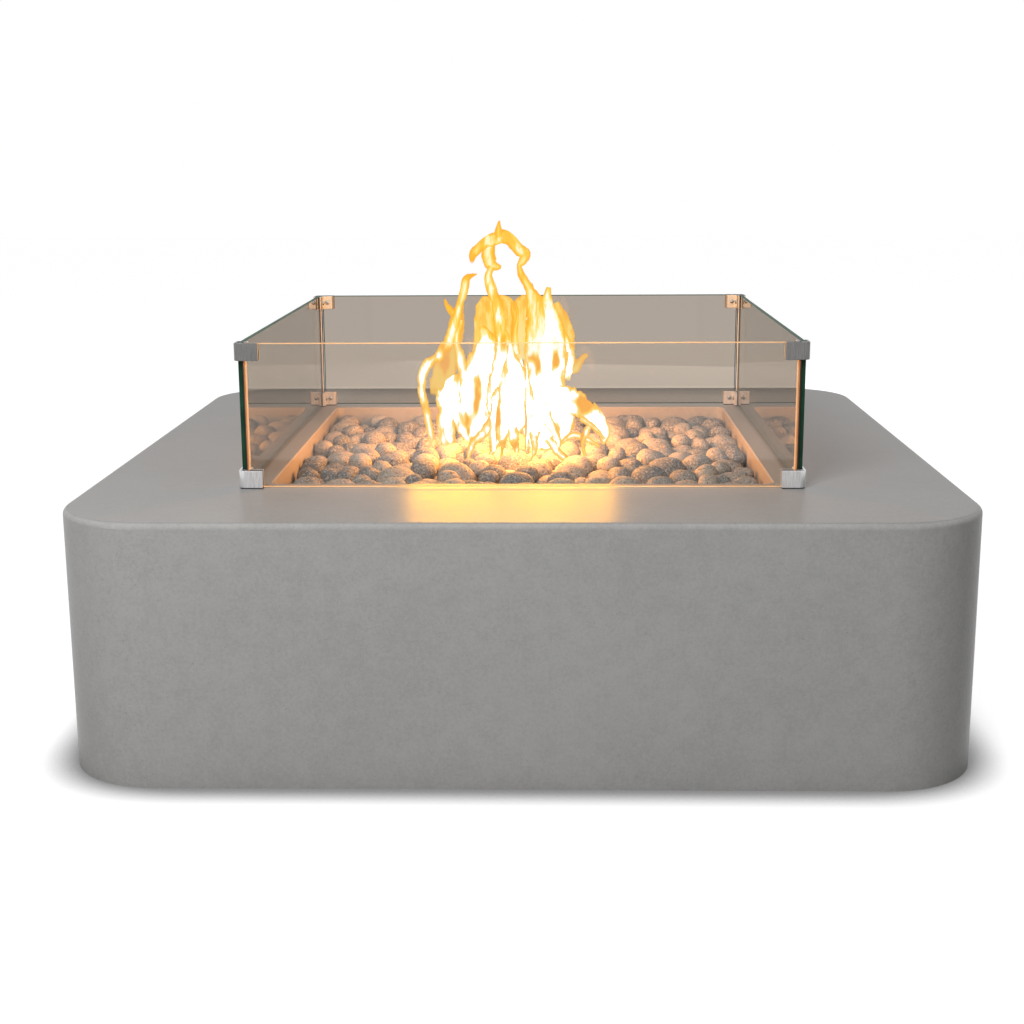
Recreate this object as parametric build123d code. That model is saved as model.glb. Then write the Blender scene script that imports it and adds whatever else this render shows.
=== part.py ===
from build123d import *
import math
import os
import random

import numpy as np
from scipy.spatial import ConvexHull

# Square cast concrete fire table with a lava stone bed over a gas burner and a
# lift-off glass wind guard. Millimetres, +Z up, front towards -Y, origin on the
# ground under the middle of the concrete body.

# Concrete body
body_width = 1220.0
body_height = 356.0
corner_radius = 130.0
top_edge_radius = 8.0
side_wall = 25.0
top_slab = 32.0

# Recess in the top and the ledge that carries the burner pan
recess_width = 710.0
recess_depth = 120.0
recess_corner_radius = 14.0
recess_rim_radius = 2.5
recess_wall = 20.0
ledge_width = 25.0
ledge_height = 20.0

# Burner pan
pan_clearance = 2.0
pan_sheet = 2.0
pan_side_height = 40.0
pan_corner_radius = 10.0
weep_hole_radius = 5.0
weep_hole_spacing = 420.0

# H-shaped tube burner, its hub and gas ports
burner_length = 300.0
burner_spacing = 200.0
burner_height = 20.0
burner_tube_radius = 9.5
burner_tube_wall = 1.5
cross_tube_radius = 8.0
hub_radius = 20.0
hub_cap = 12.0
port_radius = 1.6
port_pitch = 25.0

# Gas fittings under the pan
thread_clearance = 0.1
nipple_radius = 10.4
nipple_wall = 3.5
nipple_into_hub = 16.0
nipple_below_pan = 36.0
nut_across_flats = 34.0
nut_height = 10.0
mixer_radius = 16.0
mixer_length = 46.0
mixer_socket = 14.0
air_hole_radius = 5.0
flare_radius = 8.5
flare_bore_radius = 5.5
flare_length = 14.0
elbow_radius = 13.0
elbow_arm_radius = 11.5
elbow_bore_radius = 5.0
elbow_reach = 24.0

# Flexible gas hose
hose_radius = 8.5
hose_bore_radius = 6.2
hose_bend_radius = 150.0
hose_nut_across_flats = 24.0
hose_nut_length = 26.0

# Key valve in the back wall
valve_x = -260.0
valve_inset = 46.0
valve_barrel_radius = 19.0
valve_arm_radius = 14.5
valve_arm_reach = 42.0
inlet_radius = 9.3
inlet_depth = 15.0
neck_radius = 13.2
neck_bore_radius = 9.6
neck_hole_clearance = 2.0
neck_proud = 3.0
ball_radius = 11.0
ball_clearance = 0.3
stem_radius = 8.0
stem_clearance = 0.05
stem_length = 30.0
stem_square = 8.0
stem_square_length = 30.0
escutcheon_radius = 38.0
escutcheon_thickness = 5.0
escutcheon_edge_radius = 3.0

# Removable key
key_radius = 8.8
key_socket_clearance = 0.15
key_end_gap = 0.3
key_length = 92.0
key_end_chamfer = 1.0
key_bar_radius = 4.0
key_bar_length = 76.0
key_bar_chamfer = 1.3
key_bar_from_end = 12.0

# Access door in the back wall
door_x = 170.0
door_z = 135.0
sleeve_width = 300.0
sleeve_height = 170.0
sleeve_sheet = 1.5
sleeve_clearance = 1.0
flange_border = 28.0
flange_sheet = 2.0
flange_corner_radius = 6.0
door_overlap = 11.0
door_sheet = 1.5
door_depth = 7.0
door_gap = 0.4
door_corner_radius = 3.0
knuckle_radius = 4.5
knuckle_length = 13.0
knuckle_gap = 0.3
hinge_pin_radius = 2.5
hinge_pin_clearance = 0.05
hinge_pin_head = 1.5
hinge_offset = 1.5
hinge_spacing = 110.0
catch_width = 10.0
catch_height = 36.0
catch_depth = 20.0
catch_edge_radius = 1.0
strike_thickness = 2.0
strike_margin = 2.0
pull_radius = 12.0
pull_stem_radius = 5.0
pull_stem_length = 8.0
pull_cap = 8.0
pull_edge_radius = 2.6
pull_inset = 26.0

# Side vents
vent_z = 120.0
vent_width = 150.0
vent_height = 78.0
vent_sheet = 1.5
vent_corner_radius = 5.0
vent_border = 18.0
louver_count = 3
louver_radius = 6.0
louver_sheet = 1.2

# Screws that hold the door frame and the vents
plate_screw_radius = 2.4
plate_screw_length = 18.0
plate_screw_head_radius = 4.4
plate_screw_head_height = 2.4
plate_screw_head_chamfer = 1.2
plate_screw_clearance = 0.2
plate_screw_inset = 8.0

# Glass wind guard
guard_width = 788.0
guard_height = 203.0
foot_thickness = 1.5
foot_inset = 1.0
glass_thickness = 6.0
glass_ground_gap = 0.5
gasket_thickness = 1.0
clamp_leg = 34.0
clamp_height = 24.0
clamp_outer_wall = 3.0
clamp_inner_wall = 5.0
clamp_corner_radius = 8.5
clamp_end_chamfer = 3.0
clamp_slot_web = 1.0
clamp_screw_radius = 2.0
clamp_screw_clearance = 0.1
clamp_screw_head_radius = 4.0
clamp_screw_head_height = 2.4
clamp_screw_head_chamfer = 1.2

# Lava gravel and stones
gravel_top_below_rim = 68.0
gravel_wall_clearance = 0.6
burner_clearance = 0.5
stone_smallest = 28.0
stone_largest = 62.0
stone_length_share = (1.1, 1.4)
stone_width_share = (0.95, 1.1)
stone_thickness_share = (0.8, 0.95)
stone_points = 14
stone_unevenness = 0.25
stone_tilt = 0.6
stone_gap = 0.35
stone_wall_clearance = 0.8
stone_edge_level = -10.0
stone_mound = 9.0
stone_misses = 16
stone_trials = 12
stone_roll_strides = (9.0, 4.0, 1.5)
stone_roll_directions = 6
stone_roll_least_fall = 0.2
stone_seed = 41

cut_over = 1.0

# Levels and places that follow from the sizes above
half_body = body_width / 2
slab_bottom = body_height - top_slab
ledge_top = body_height - recess_depth
ledge_bottom = ledge_top - ledge_height
pan_width = recess_width - 2 * pan_clearance
pan_floor = ledge_top + pan_sheet
burner_z = pan_floor + burner_height
gravel_top = body_height - gravel_top_below_rim
nipple_bottom = ledge_top - nipple_below_pan
mixer_top = nipple_bottom + mixer_socket
mixer_bottom = mixer_top - mixer_length
hose_z = mixer_bottom - flare_length - elbow_radius
valve_y = half_body - side_wall - valve_inset
valve_cavity_radius = ball_radius + ball_clearance
half_guard = guard_width / 2
clamp_slot = glass_thickness + 2 * gasket_thickness
clamp_depth = clamp_outer_wall + clamp_slot + clamp_inner_wall
slot_end = clamp_outer_wall + clamp_slot + clamp_slot_web
top_clamp_z = body_height + guard_height - clamp_height
bottom_clamp_z = body_height + foot_thickness
flange_width = sleeve_width + 2 * flange_border
flange_height = sleeve_height + 2 * flange_border
door_width = sleeve_width + 2 * door_overlap
door_height = sleeve_height + 2 * door_overlap
door_bottom = flange_sheet + door_gap
door_face = door_bottom + door_depth
hinge_x = -(door_width / 2 + knuckle_radius + hinge_offset)
hinge_out = flange_sheet + knuckle_radius + door_gap
hinge_length = 3 * knuckle_length + 2 * knuckle_gap

# Frames of the back wall's fittings and the side vents: x to the right as seen
# from outside, y up, z out of the wall
door_plane = Plane(origin=(door_x, half_body, door_z), x_dir=(-1, 0, 0), z_dir=(0, 1, 0))
left_plane = Plane(origin=(-half_body, 0, vent_z), x_dir=(0, -1, 0), z_dir=(-1, 0, 0))
right_plane = Plane(origin=(half_body, 0, vent_z), x_dir=(0, 1, 0), z_dir=(1, 0, 0))

from_bottom = (Align.CENTER, Align.CENTER, Align.MIN)
from_top = (Align.CENTER, Align.CENTER, Align.MAX)


def rounded_block(width, height, radius, bottom, top):
    outline = Pos(0, 0, bottom) * RectangleRounded(width, height, radius)
    return extrude(outline, top - bottom)


def rod(start, end, radius):
    along = Vector(*end) - Vector(*start)
    return extrude(Plane(origin=start, z_dir=along) * Circle(radius), along.length)


def pipe(start, end, radius, bore_radius):
    return rod(start, end, radius) - rod(start, end, bore_radius)


def hex_nut(start, end, across_flats, bore_radius):
    along = Vector(*end) - Vector(*start)
    outline = RegularPolygon(across_flats / 2, 6, major_radius=False) - Circle(bore_radius)
    return extrude(Plane(origin=start, z_dir=along) * outline, along.length)


def button_screw(shank_radius, shank_length, head_radius, head_height, head_chamfer):
    head = Cylinder(head_radius, head_height, align=from_bottom)
    head = chamfer(head.edges().sort_by(Axis.Z)[-1], head_chamfer)
    return head + Cylinder(shank_radius, shank_length, align=from_top)


def corner_spots(width, height, inset):
    across = width / 2 - inset
    up = height / 2 - inset
    return [(across, up), (-across, up), (-across, -up), (across, -up)]


# Concrete body

def wall_screw_holes(plane, width, height):
    hole = Cylinder(plate_screw_radius + plate_screw_clearance, plate_screw_length + cut_over, align=from_top)
    return [plane * Pos(x, y, 0) * hole for x, y in corner_spots(width, height, plate_screw_inset)]


def make_concrete_body():
    shell = rounded_block(body_width, body_width, corner_radius, 0, body_height)
    shell = fillet(shell.faces().sort_by(Axis.Z)[-1].edges(), top_edge_radius)
    inner_width = body_width - 2 * side_wall
    cavity = rounded_block(inner_width, inner_width, corner_radius - side_wall, 0, slab_bottom)
    skirt_width = recess_width + 2 * recess_wall
    skirt = rounded_block(
        skirt_width, skirt_width, recess_corner_radius + recess_wall, ledge_bottom, slab_bottom
    )
    shell -= cavity - skirt
    shell -= rounded_block(recess_width, recess_width, recess_corner_radius, ledge_top, body_height)
    opening = recess_width - 2 * ledge_width
    shell -= rounded_block(opening, opening, recess_corner_radius, ledge_bottom, ledge_top)
    rim = shell.faces().sort_by(Axis.Z)[-1].inner_wires()[0]
    shell = fillet(rim.edges(), recess_rim_radius)
    hole_width = sleeve_width + 2 * sleeve_clearance
    hole_height = sleeve_height + 2 * sleeve_clearance
    shell -= door_plane * Box(hole_width, hole_height, 2 * (side_wall + cut_over))
    back_inside = half_body - side_wall - cut_over
    neck_hole = rod(
        (valve_x, back_inside, hose_z),
        (valve_x, half_body + cut_over, hose_z),
        neck_radius + neck_hole_clearance,
    )
    shell -= neck_hole
    vent_hole = Box(vent_width - 2 * vent_border, vent_height - 2 * vent_border, 2 * (side_wall + cut_over))
    shell -= [left_plane * vent_hole, right_plane * vent_hole]
    shell -= wall_screw_holes(door_plane, flange_width, flange_height)
    shell -= wall_screw_holes(left_plane, vent_width, vent_height)
    shell -= wall_screw_holes(right_plane, vent_width, vent_height)
    return shell


# Burner pan, burner and gas fittings

def make_burner_pan():
    top = ledge_top + pan_side_height
    pan = rounded_block(pan_width, pan_width, pan_corner_radius, ledge_top, top)
    inside = pan_width - 2 * pan_sheet
    pan -= rounded_block(inside, inside, pan_corner_radius - pan_sheet, pan_floor, top)
    pan -= rod((0, 0, ledge_top), (0, 0, pan_floor), nipple_radius + thread_clearance)
    weep_hole = Cylinder(weep_hole_radius, pan_sheet, align=from_bottom)
    weep_spots = GridLocations(weep_hole_spacing, weep_hole_spacing, 2, 2)
    return pan - Pos(0, 0, ledge_top) * weep_spots * weep_hole


def burner_ports():
    rows = int((burner_length - 2 * port_pitch) / port_pitch) + 1
    return GridLocations(burner_spacing, port_pitch, 2, rows)


def make_burner():
    reach = burner_length / 2
    side = burner_spacing / 2
    tube_bore = burner_tube_radius - burner_tube_wall
    cross_bore = cross_tube_radius - burner_tube_wall
    burner = rod((0, 0, pan_floor), (0, 0, burner_z + hub_cap), hub_radius)
    burner += rod((-side, 0, burner_z), (side, 0, burner_z), cross_tube_radius)
    for x in (-side, side):
        burner += rod((x, -reach, burner_z), (x, reach, burner_z), burner_tube_radius)
    for x in (-side, side):
        capped = reach - burner_tube_wall
        burner -= rod((x, -capped, burner_z), (x, capped, burner_z), tube_bore)
    burner -= rod((-side, 0, burner_z), (side, 0, burner_z), cross_bore)
    burner -= rod((0, 0, pan_floor), (0, 0, burner_z), nipple_radius + thread_clearance)
    port = Cylinder(port_radius, burner_tube_radius + cut_over, align=from_bottom)
    return burner - Pos(0, 0, burner_z) * burner_ports() * port


def make_burner_nipple():
    top = pan_floor + nipple_into_hub
    return pipe((0, 0, nipple_bottom), (0, 0, top), nipple_radius, nipple_radius - nipple_wall)


def make_pan_lock_nut():
    bore = nipple_radius + thread_clearance
    return hex_nut((0, 0, ledge_top - nut_height), (0, 0, ledge_top), nut_across_flats, bore)


def make_air_mixer():
    mixer = rod((0, 0, mixer_bottom), (0, 0, mixer_top), mixer_radius)
    mixer += rod((0, 0, mixer_bottom - flare_length), (0, 0, mixer_bottom), flare_radius)
    mixer -= rod((0, 0, mixer_bottom - flare_length), (0, 0, mixer_top), flare_bore_radius)
    mixer -= rod((0, 0, nipple_bottom), (0, 0, mixer_top), nipple_radius + thread_clearance)
    air_z = (mixer_bottom + nipple_bottom) / 2
    mixer -= rod((-mixer_radius, 0, air_z), (mixer_radius, 0, air_z), air_hole_radius)
    return mixer


def make_mixer_elbow():
    top = mixer_bottom
    flare_end = elbow_reach + flare_length
    elbow = rod((0, 0, hose_z - elbow_radius), (0, 0, top), elbow_radius)
    elbow += rod((0, 0, hose_z), (0, elbow_reach, hose_z), elbow_arm_radius)
    elbow += rod((0, elbow_reach, hose_z), (0, flare_end, hose_z), flare_radius)
    elbow -= rod((0, 0, top - flare_length), (0, 0, top), flare_radius + thread_clearance)
    elbow -= rod((0, 0, hose_z - flare_bore_radius), (0, 0, top), flare_bore_radius)
    return elbow - rod((0, 0, hose_z), (0, flare_end, hose_z), elbow_bore_radius)


hose_start = (0, elbow_reach + flare_length, hose_z)
hose_corner = (0, valve_y, hose_z)
hose_end = (valve_x + valve_arm_reach + flare_length, valve_y, hose_z)


def make_gas_hose():
    path = FilletPolyline(hose_start, hose_corner, hose_end, radius=hose_bend_radius)
    section = Plane(origin=hose_start, z_dir=(0, 1, 0)) * (Circle(hose_radius) - Circle(hose_bore_radius))
    return sweep(section, path=path)


def make_hose_nuts():
    reach = hose_nut_length / 2
    x, y, z = hose_start
    bore = flare_radius + thread_clearance
    burner_nut = hex_nut((x, y - reach, z), (x, y + reach, z), hose_nut_across_flats, bore)
    x, y, z = hose_end
    valve_nut = hex_nut((x - reach, y, z), (x + reach, y, z), hose_nut_across_flats, bore)
    return burner_nut, valve_nut


# Key valve

neck_end = half_body + escutcheon_thickness + neck_proud
stem_shoulder = valve_y + ball_radius + stem_length
stem_end = stem_shoulder + stem_square_length
flow_radius = flare_bore_radius


def make_valve_body():
    middle = (valve_x, valve_y, hose_z)
    inside_wall = half_body - side_wall
    arm_bottom = (valve_x, valve_y, hose_z - valve_arm_reach)
    arm_end = (valve_x + valve_arm_reach, valve_y, hose_z)
    barrel_back = (valve_x, valve_y - valve_barrel_radius, hose_z)
    barrel_front = (valve_x, inside_wall - nut_height, hose_z)
    body = rod(barrel_back, barrel_front, valve_barrel_radius)
    body += rod((valve_x, valve_y, hose_z), (valve_x, neck_end, hose_z), neck_radius)
    body += rod(middle, arm_bottom, valve_arm_radius)
    body += rod(middle, arm_end, valve_arm_radius)
    body += rod(arm_end, hose_end, flare_radius)
    body -= Pos(*middle) * Sphere(valve_cavity_radius)
    body -= rod(middle, (valve_x, stem_shoulder, hose_z), stem_radius + stem_clearance)
    body -= rod((valve_x, stem_shoulder, hose_z), (valve_x, neck_end, hose_z), neck_bore_radius)
    body -= rod(arm_bottom, (valve_x, valve_y, hose_z - valve_arm_reach + inlet_depth), inlet_radius)
    body -= rod(middle, arm_bottom, flow_radius)
    return body - rod(middle, hose_end, flow_radius)


def make_valve_lock_nut():
    inside_wall = half_body - side_wall
    bore = neck_radius + thread_clearance
    start = (valve_x, inside_wall - nut_height, hose_z)
    return hex_nut(start, (valve_x, inside_wall, hose_z), nut_across_flats, bore)


def make_valve_escutcheon():
    disc = Cylinder(escutcheon_radius, escutcheon_thickness, align=from_bottom)
    disc = fillet(disc.edges().sort_by(Axis.Z)[-1], escutcheon_edge_radius)
    disc -= Cylinder(neck_radius + thread_clearance, escutcheon_thickness, align=from_bottom)
    return Plane(origin=(valve_x, half_body, hose_z), z_dir=(0, 1, 0)) * disc


def make_valve_stem():
    middle = (valve_x, valve_y, hose_z)
    stem = Pos(*middle) * Sphere(ball_radius)
    stem += rod(middle, (valve_x, stem_shoulder, hose_z), stem_radius)
    square_start = Plane(origin=(valve_x, stem_shoulder, hose_z), z_dir=(0, 1, 0))
    stem += extrude(square_start * Rectangle(stem_square, stem_square), stem_square_length)
    stem -= rod(middle, (valve_x, valve_y, hose_z - ball_radius), flow_radius)
    return stem - rod(middle, (valve_x + ball_radius, valve_y, hose_z), flow_radius)


def make_gas_key():
    start = stem_shoulder + key_end_gap
    end = start + key_length
    bar_y = end - key_bar_from_end
    shaft = rod((valve_x, start, hose_z), (valve_x, end, hose_z), key_radius)
    socket_width = stem_square + 2 * key_socket_clearance
    socket = Plane(origin=(valve_x, start, hose_z), z_dir=(0, 1, 0)) * Rectangle(socket_width, socket_width)
    shaft -= extrude(socket, stem_end + key_end_gap - start)
    bar_start = (valve_x - key_bar_length / 2, bar_y, hose_z)
    bar_end = (valve_x + key_bar_length / 2, bar_y, hose_z)
    shaft -= rod(bar_start, bar_end, key_bar_radius + thread_clearance)
    shaft = chamfer(shaft.edges().sort_by(Axis.Y)[-1], key_end_chamfer)
    bar = rod(bar_start, bar_end, key_bar_radius)
    bar = chamfer(bar.edges().filter_by(GeomType.CIRCLE), key_bar_chamfer)
    return shaft, bar


# Access door

def hinge_spots():
    return [-hinge_spacing / 2, hinge_spacing / 2]


def make_knuckle(middle_y, length):
    barrel = Cylinder(knuckle_radius, length)
    return Pos(hinge_x, middle_y, hinge_out) * Rot(90, 0, 0) * barrel


def make_pin_hole(middle_y):
    barrel = Cylinder(hinge_pin_radius + hinge_pin_clearance, hinge_length + 2 * cut_over)
    return Pos(hinge_x, middle_y, hinge_out) * Rot(90, 0, 0) * barrel


def make_access_frame():
    frame = rounded_block(flange_width, flange_height, flange_corner_radius, 0, flange_sheet)
    sleeve_bottom = -side_wall
    frame += Pos(0, 0, sleeve_bottom) * Box(sleeve_width, sleeve_height, side_wall, align=from_bottom)
    inner_width = sleeve_width - 2 * sleeve_sheet
    inner_height = sleeve_height - 2 * sleeve_sheet
    opening = Box(inner_width, inner_height, side_wall + flange_sheet, align=from_bottom)
    frame -= Pos(0, 0, sleeve_bottom) * opening
    step = knuckle_length + knuckle_gap
    for spot in hinge_spots():
        for side in (-step, step):
            frame += make_knuckle(spot + side, knuckle_length)
            pad_height = hinge_out - flange_sheet
            pad = Box(2 * knuckle_radius, knuckle_length, pad_height, align=from_bottom)
            frame += Pos(hinge_x, spot + side, flange_sheet) * pad
        frame -= make_pin_hole(spot)
    hole = Cylinder(plate_screw_radius + plate_screw_clearance, flange_sheet, align=from_bottom)
    frame -= [Pos(x, y, 0) * hole for x, y in corner_spots(flange_width, flange_height, plate_screw_inset)]
    return door_plane * frame


def make_hinge_pins():
    pins = []
    for spot in hinge_spots():
        pin = Cylinder(hinge_pin_radius, hinge_length)
        pin += Pos(0, 0, hinge_length / 2) * Cylinder(knuckle_radius, hinge_pin_head, align=from_bottom)
        pins.append(door_plane * Pos(hinge_x, spot, hinge_out) * Rot(-90, 0, 0) * pin)
    return pins


def make_access_door():
    door = rounded_block(door_width, door_height, door_corner_radius, door_bottom, door_face)
    inner_width = door_width - 2 * door_sheet
    inner_height = door_height - 2 * door_sheet
    inner_radius = door_corner_radius - door_sheet
    door -= rounded_block(inner_width, inner_height, inner_radius, door_bottom, door_face - door_sheet)
    tab_width = -door_width / 2 + door_sheet - hinge_x
    for spot in hinge_spots():
        tab = Box(tab_width, knuckle_length, door_sheet, align=(Align.MIN, Align.CENTER, Align.CENTER))
        door += make_knuckle(spot, knuckle_length)
        door += Pos(hinge_x, spot, hinge_out) * tab
        door -= make_pin_hole(spot)
    return door_plane * door


catch_x = (sleeve_width - catch_width) / 2 - sleeve_sheet
catch_face = door_face - door_sheet - strike_thickness - door_gap


def make_magnet_catch():
    block = Box(catch_width, catch_height, catch_depth, align=from_top)
    block = fillet(block.edges().filter_by(Axis.Z), catch_edge_radius)
    return door_plane * Pos(catch_x, 0, catch_face) * block


def make_strike_plate():
    width = catch_width + 2 * strike_margin
    height = catch_height + 2 * strike_margin
    return door_plane * rounded_block(width, height, strike_margin, 0, strike_thickness).moved(
        Pos(catch_x, 0, catch_face + door_gap)
    )


def make_door_pull():
    knob = Cylinder(pull_stem_radius, pull_stem_length, align=from_bottom)
    cap = Cylinder(pull_radius, pull_cap, align=from_bottom)
    cap = fillet(cap.edges().filter_by(GeomType.CIRCLE), pull_edge_radius)
    knob += Pos(0, 0, pull_stem_length) * cap
    return door_plane * Pos(door_width / 2 - pull_inset, 0, door_face) * knob


def make_plate_screws(plane, width, height, sheet):
    length = plate_screw_length
    screw = button_screw(
        plate_screw_radius, length, plate_screw_head_radius, plate_screw_head_height, plate_screw_head_chamfer
    )
    spots = corner_spots(width, height, plate_screw_inset)
    return [plane * Pos(x, y, sheet) * screw for x, y in spots]


# Side vents

def make_vent():
    plate = rounded_block(vent_width, vent_height, vent_corner_radius, 0, vent_sheet)
    louver_width = vent_width - 2 * vent_border
    pitch = (vent_height - 2 * vent_border) / louver_count
    for index in range(louver_count):
        low = (index - louver_count / 2) * pitch + (pitch - louver_radius) / 2
        slot = Box(louver_width - 2 * louver_sheet, louver_radius - louver_sheet, 2 * (vent_sheet + cut_over))
        middle = low + (louver_radius - louver_sheet) / 2
        hood = rod((-louver_width / 2, low, 0), (louver_width / 2, low, 0), louver_radius)
        inside = louver_width / 2 - louver_sheet
        hood -= rod((-inside, low, 0), (inside, low, 0), louver_radius - louver_sheet)
        keep = Box(louver_width, louver_radius, louver_radius, align=(Align.CENTER, Align.MIN, Align.MIN))
        plate += hood & (Pos(0, low, 0) * keep)
        plate -= Pos(0, middle, 0) * slot
    hole = Cylinder(plate_screw_radius + plate_screw_clearance, vent_sheet, align=from_bottom)
    plate -= [Pos(x, y, 0) * hole for x, y in corner_spots(vent_width, vent_height, plate_screw_inset)]
    return plate


# Glass wind guard, drawn for the back right corner and turned to the others

corner_turns = {"back_right": 0, "back_left": 90, "front_left": 180, "front_right": 270}
pane_turns = {"back": 0, "left": 90, "front": 180, "right": 270}
toward_middle = (Align.MAX, Align.MAX)


def clamp_outline(inset):
    leg = clamp_leg - 2 * inset
    far = half_guard - inset
    outline = Pos(far, far) * Rectangle(leg, leg, align=toward_middle)
    inner = half_guard - clamp_depth + inset
    outline -= Pos(inner, inner) * Rectangle(leg, leg, align=toward_middle)
    outer_corner = outline.vertices().sort_by(Axis((0, 0, 0), (1, 1, 0)))[-1]
    return fillet(outer_corner, clamp_corner_radius - inset)


def leg_screw_planes():
    along = half_guard - (clamp_leg + slot_end) / 2
    face = half_guard - clamp_depth
    middle = clamp_height / 2
    first = Plane(origin=(along, face, middle), z_dir=(0, -1, 0))
    return [first, Plane(origin=(face, along, middle), z_dir=(-1, 0, 0))]


def make_clamp():
    outline = clamp_outline(0)
    inner_face = half_guard - clamp_depth
    leg_end = half_guard - clamp_leg
    bevelled = [
        v for v in outline.vertices()
        if abs(min(v.X, v.Y) - leg_end) < cut_over and abs(max(v.X, v.Y) - inner_face) < cut_over
    ]
    outline = chamfer(bevelled, clamp_end_chamfer)
    slot = Rectangle(clamp_leg - slot_end, clamp_slot, align=toward_middle)
    far = half_guard - slot_end
    near = half_guard - clamp_outer_wall
    outline -= Pos(far, near) * slot
    outline -= Pos(near, far) * Rectangle(clamp_slot, clamp_leg - slot_end, align=toward_middle)
    clamp = extrude(outline, clamp_height)
    hole = Cylinder(clamp_screw_radius + clamp_screw_clearance, 2 * clamp_inner_wall)
    return clamp - [plane * hole for plane in leg_screw_planes()]


def make_clamp_screws():
    screw = button_screw(
        clamp_screw_radius,
        clamp_inner_wall,
        clamp_screw_head_radius,
        clamp_screw_head_height,
        clamp_screw_head_chamfer,
    )
    return [plane * screw for plane in leg_screw_planes()]


def make_gaskets():
    length = clamp_leg - slot_end - gasket_thickness
    far = half_guard - slot_end
    near = half_guard - clamp_outer_wall
    channel = Pos(far, near) * Rectangle(length, clamp_slot, align=toward_middle)
    channel -= Pos(far - gasket_thickness, near - gasket_thickness) * Rectangle(
        length, glass_thickness, align=toward_middle
    )
    first = extrude(channel, clamp_height)
    return [first, mirror(first, Plane(origin=(0, 0, 0), z_dir=(1, -1, 0)))]


def make_pane():
    length = 2 * (half_guard - slot_end - gasket_thickness)
    outer_face = half_guard - clamp_outer_wall - gasket_thickness
    bottom = bottom_clamp_z + glass_ground_gap
    height = top_clamp_z + clamp_height - bottom
    pane = Box(length, glass_thickness, height, align=(Align.CENTER, Align.MAX, Align.MIN))
    return Pos(0, outer_face, bottom) * pane


def around_guard(pieces, heights):
    placed = []
    for turn in corner_turns.values():
        for height in heights:
            placed += [Rot(0, 0, turn) * Pos(0, 0, height) * piece for piece in pieces]
    return placed


# Lava gravel and stones

def make_lava_gravel():
    width = pan_width - 2 * pan_sheet - 2 * gravel_wall_clearance
    low_radius = pan_corner_radius - pan_sheet - gravel_wall_clearance
    gravel = rounded_block(width, width, low_radius, pan_floor, gravel_top)
    tube_width = 2 * (burner_tube_radius + burner_clearance)
    tube_length = burner_length + 2 * burner_clearance
    channel = Circle(hub_radius + burner_clearance)
    channel += Rectangle(burner_spacing, 2 * (cross_tube_radius + burner_clearance))
    for x in (-burner_spacing / 2, burner_spacing / 2):
        channel += Pos(x, 0) * Rectangle(tube_width, tube_length)
    channel_top = burner_z + hub_cap + burner_clearance
    return gravel - extrude(Pos(0, 0, pan_floor) * channel, channel_top - pan_floor)


class Stone:
    def __init__(self, points):
        hull = ConvexHull(points)
        self.points = points
        self.normals = hull.equations[:, :3]
        self.offsets = -hull.equations[:, 3]
        corners = np.vstack([hull.simplices[:, [0, 1]], hull.simplices[:, [1, 2]], hull.simplices[:, [0, 2]]])
        self.edges = np.unique(np.sort(corners, axis=1), axis=0)
        self.reach = np.linalg.norm(points[:, :2], axis=1).max()

    def moved(self, shift):
        stone = Stone.__new__(Stone)
        stone.points = self.points + shift
        stone.normals = self.normals
        stone.offsets = self.offsets + self.normals @ shift
        stone.edges = self.edges
        stone.reach = self.reach
        return stone


def make_stone(chance):
    size = chance.uniform(stone_smallest, stone_largest)
    shares = (stone_length_share, stone_width_share, stone_thickness_share)
    axes = np.array([chance.uniform(*share) for share in shares])
    golden = math.pi * (3 - math.sqrt(5))
    points = []
    for index in range(stone_points):
        height = 1 - 2 * (index + 0.5) / stone_points
        angle = golden * index + chance.uniform(-stone_unevenness, stone_unevenness)
        around = math.sqrt(1 - height * height)
        points.append((around * math.cos(angle), around * math.sin(angle), height))
    points = np.array(points) * axes * size / 2
    tilt = chance.uniform(-stone_tilt, stone_tilt)
    spin = chance.uniform(0, 2 * math.pi)
    lean = np.array([[1, 0, 0], [0, math.cos(tilt), -math.sin(tilt)], [0, math.sin(tilt), math.cos(tilt)]])
    turn = np.array([[math.cos(spin), -math.sin(spin), 0], [math.sin(spin), math.cos(spin), 0], [0, 0, 1]])
    return Stone(points @ (turn @ lean).T)


def span_at(stone, spots, upper):
    """Height of a stone's top (or underside) above each spot, or nan off the stone."""
    steep = stone.normals[:, 2]
    heights = (stone.offsets - spots @ stone.normals[:, :2].T) / steep
    tops = np.where(steep > 0, heights, np.inf).min(axis=1)
    bottoms = np.where(steep < 0, heights, -np.inf).max(axis=1)
    return np.where(bottoms <= tops, tops if upper else bottoms, np.nan)


def fall_between(falling, lying):
    """How far one stone can fall straight down before it meets another."""
    drops = [falling.points[:, 2] - span_at(lying, falling.points[:, :2], True)]
    drops.append(span_at(falling, lying.points[:, :2], False) - lying.points[:, 2])
    start = falling.points[falling.edges[:, 0]][:, None, :]
    along = falling.points[falling.edges[:, 1]][:, None, :] - start
    other = lying.points[lying.edges[:, 0]][None, :, :]
    across = lying.points[lying.edges[:, 1]][None, :, :] - other
    turn = along[..., 0] * across[..., 1] - along[..., 1] * across[..., 0]
    turn = np.where(np.abs(turn) < 1e-9, np.nan, turn)
    gap = other - start
    first = (gap[..., 0] * across[..., 1] - gap[..., 1] * across[..., 0]) / turn
    second = (gap[..., 0] * along[..., 1] - gap[..., 1] * along[..., 0]) / turn
    crossing = (first >= 0) & (first <= 1) & (second >= 0) & (second <= 1)
    fall = (start[..., 2] + first * along[..., 2]) - (other[..., 2] + second * across[..., 2])
    drops.append(fall[crossing])
    drops = np.concatenate(drops)
    drops = drops[~np.isnan(drops)]
    return drops.min() if len(drops) else np.inf


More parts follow.
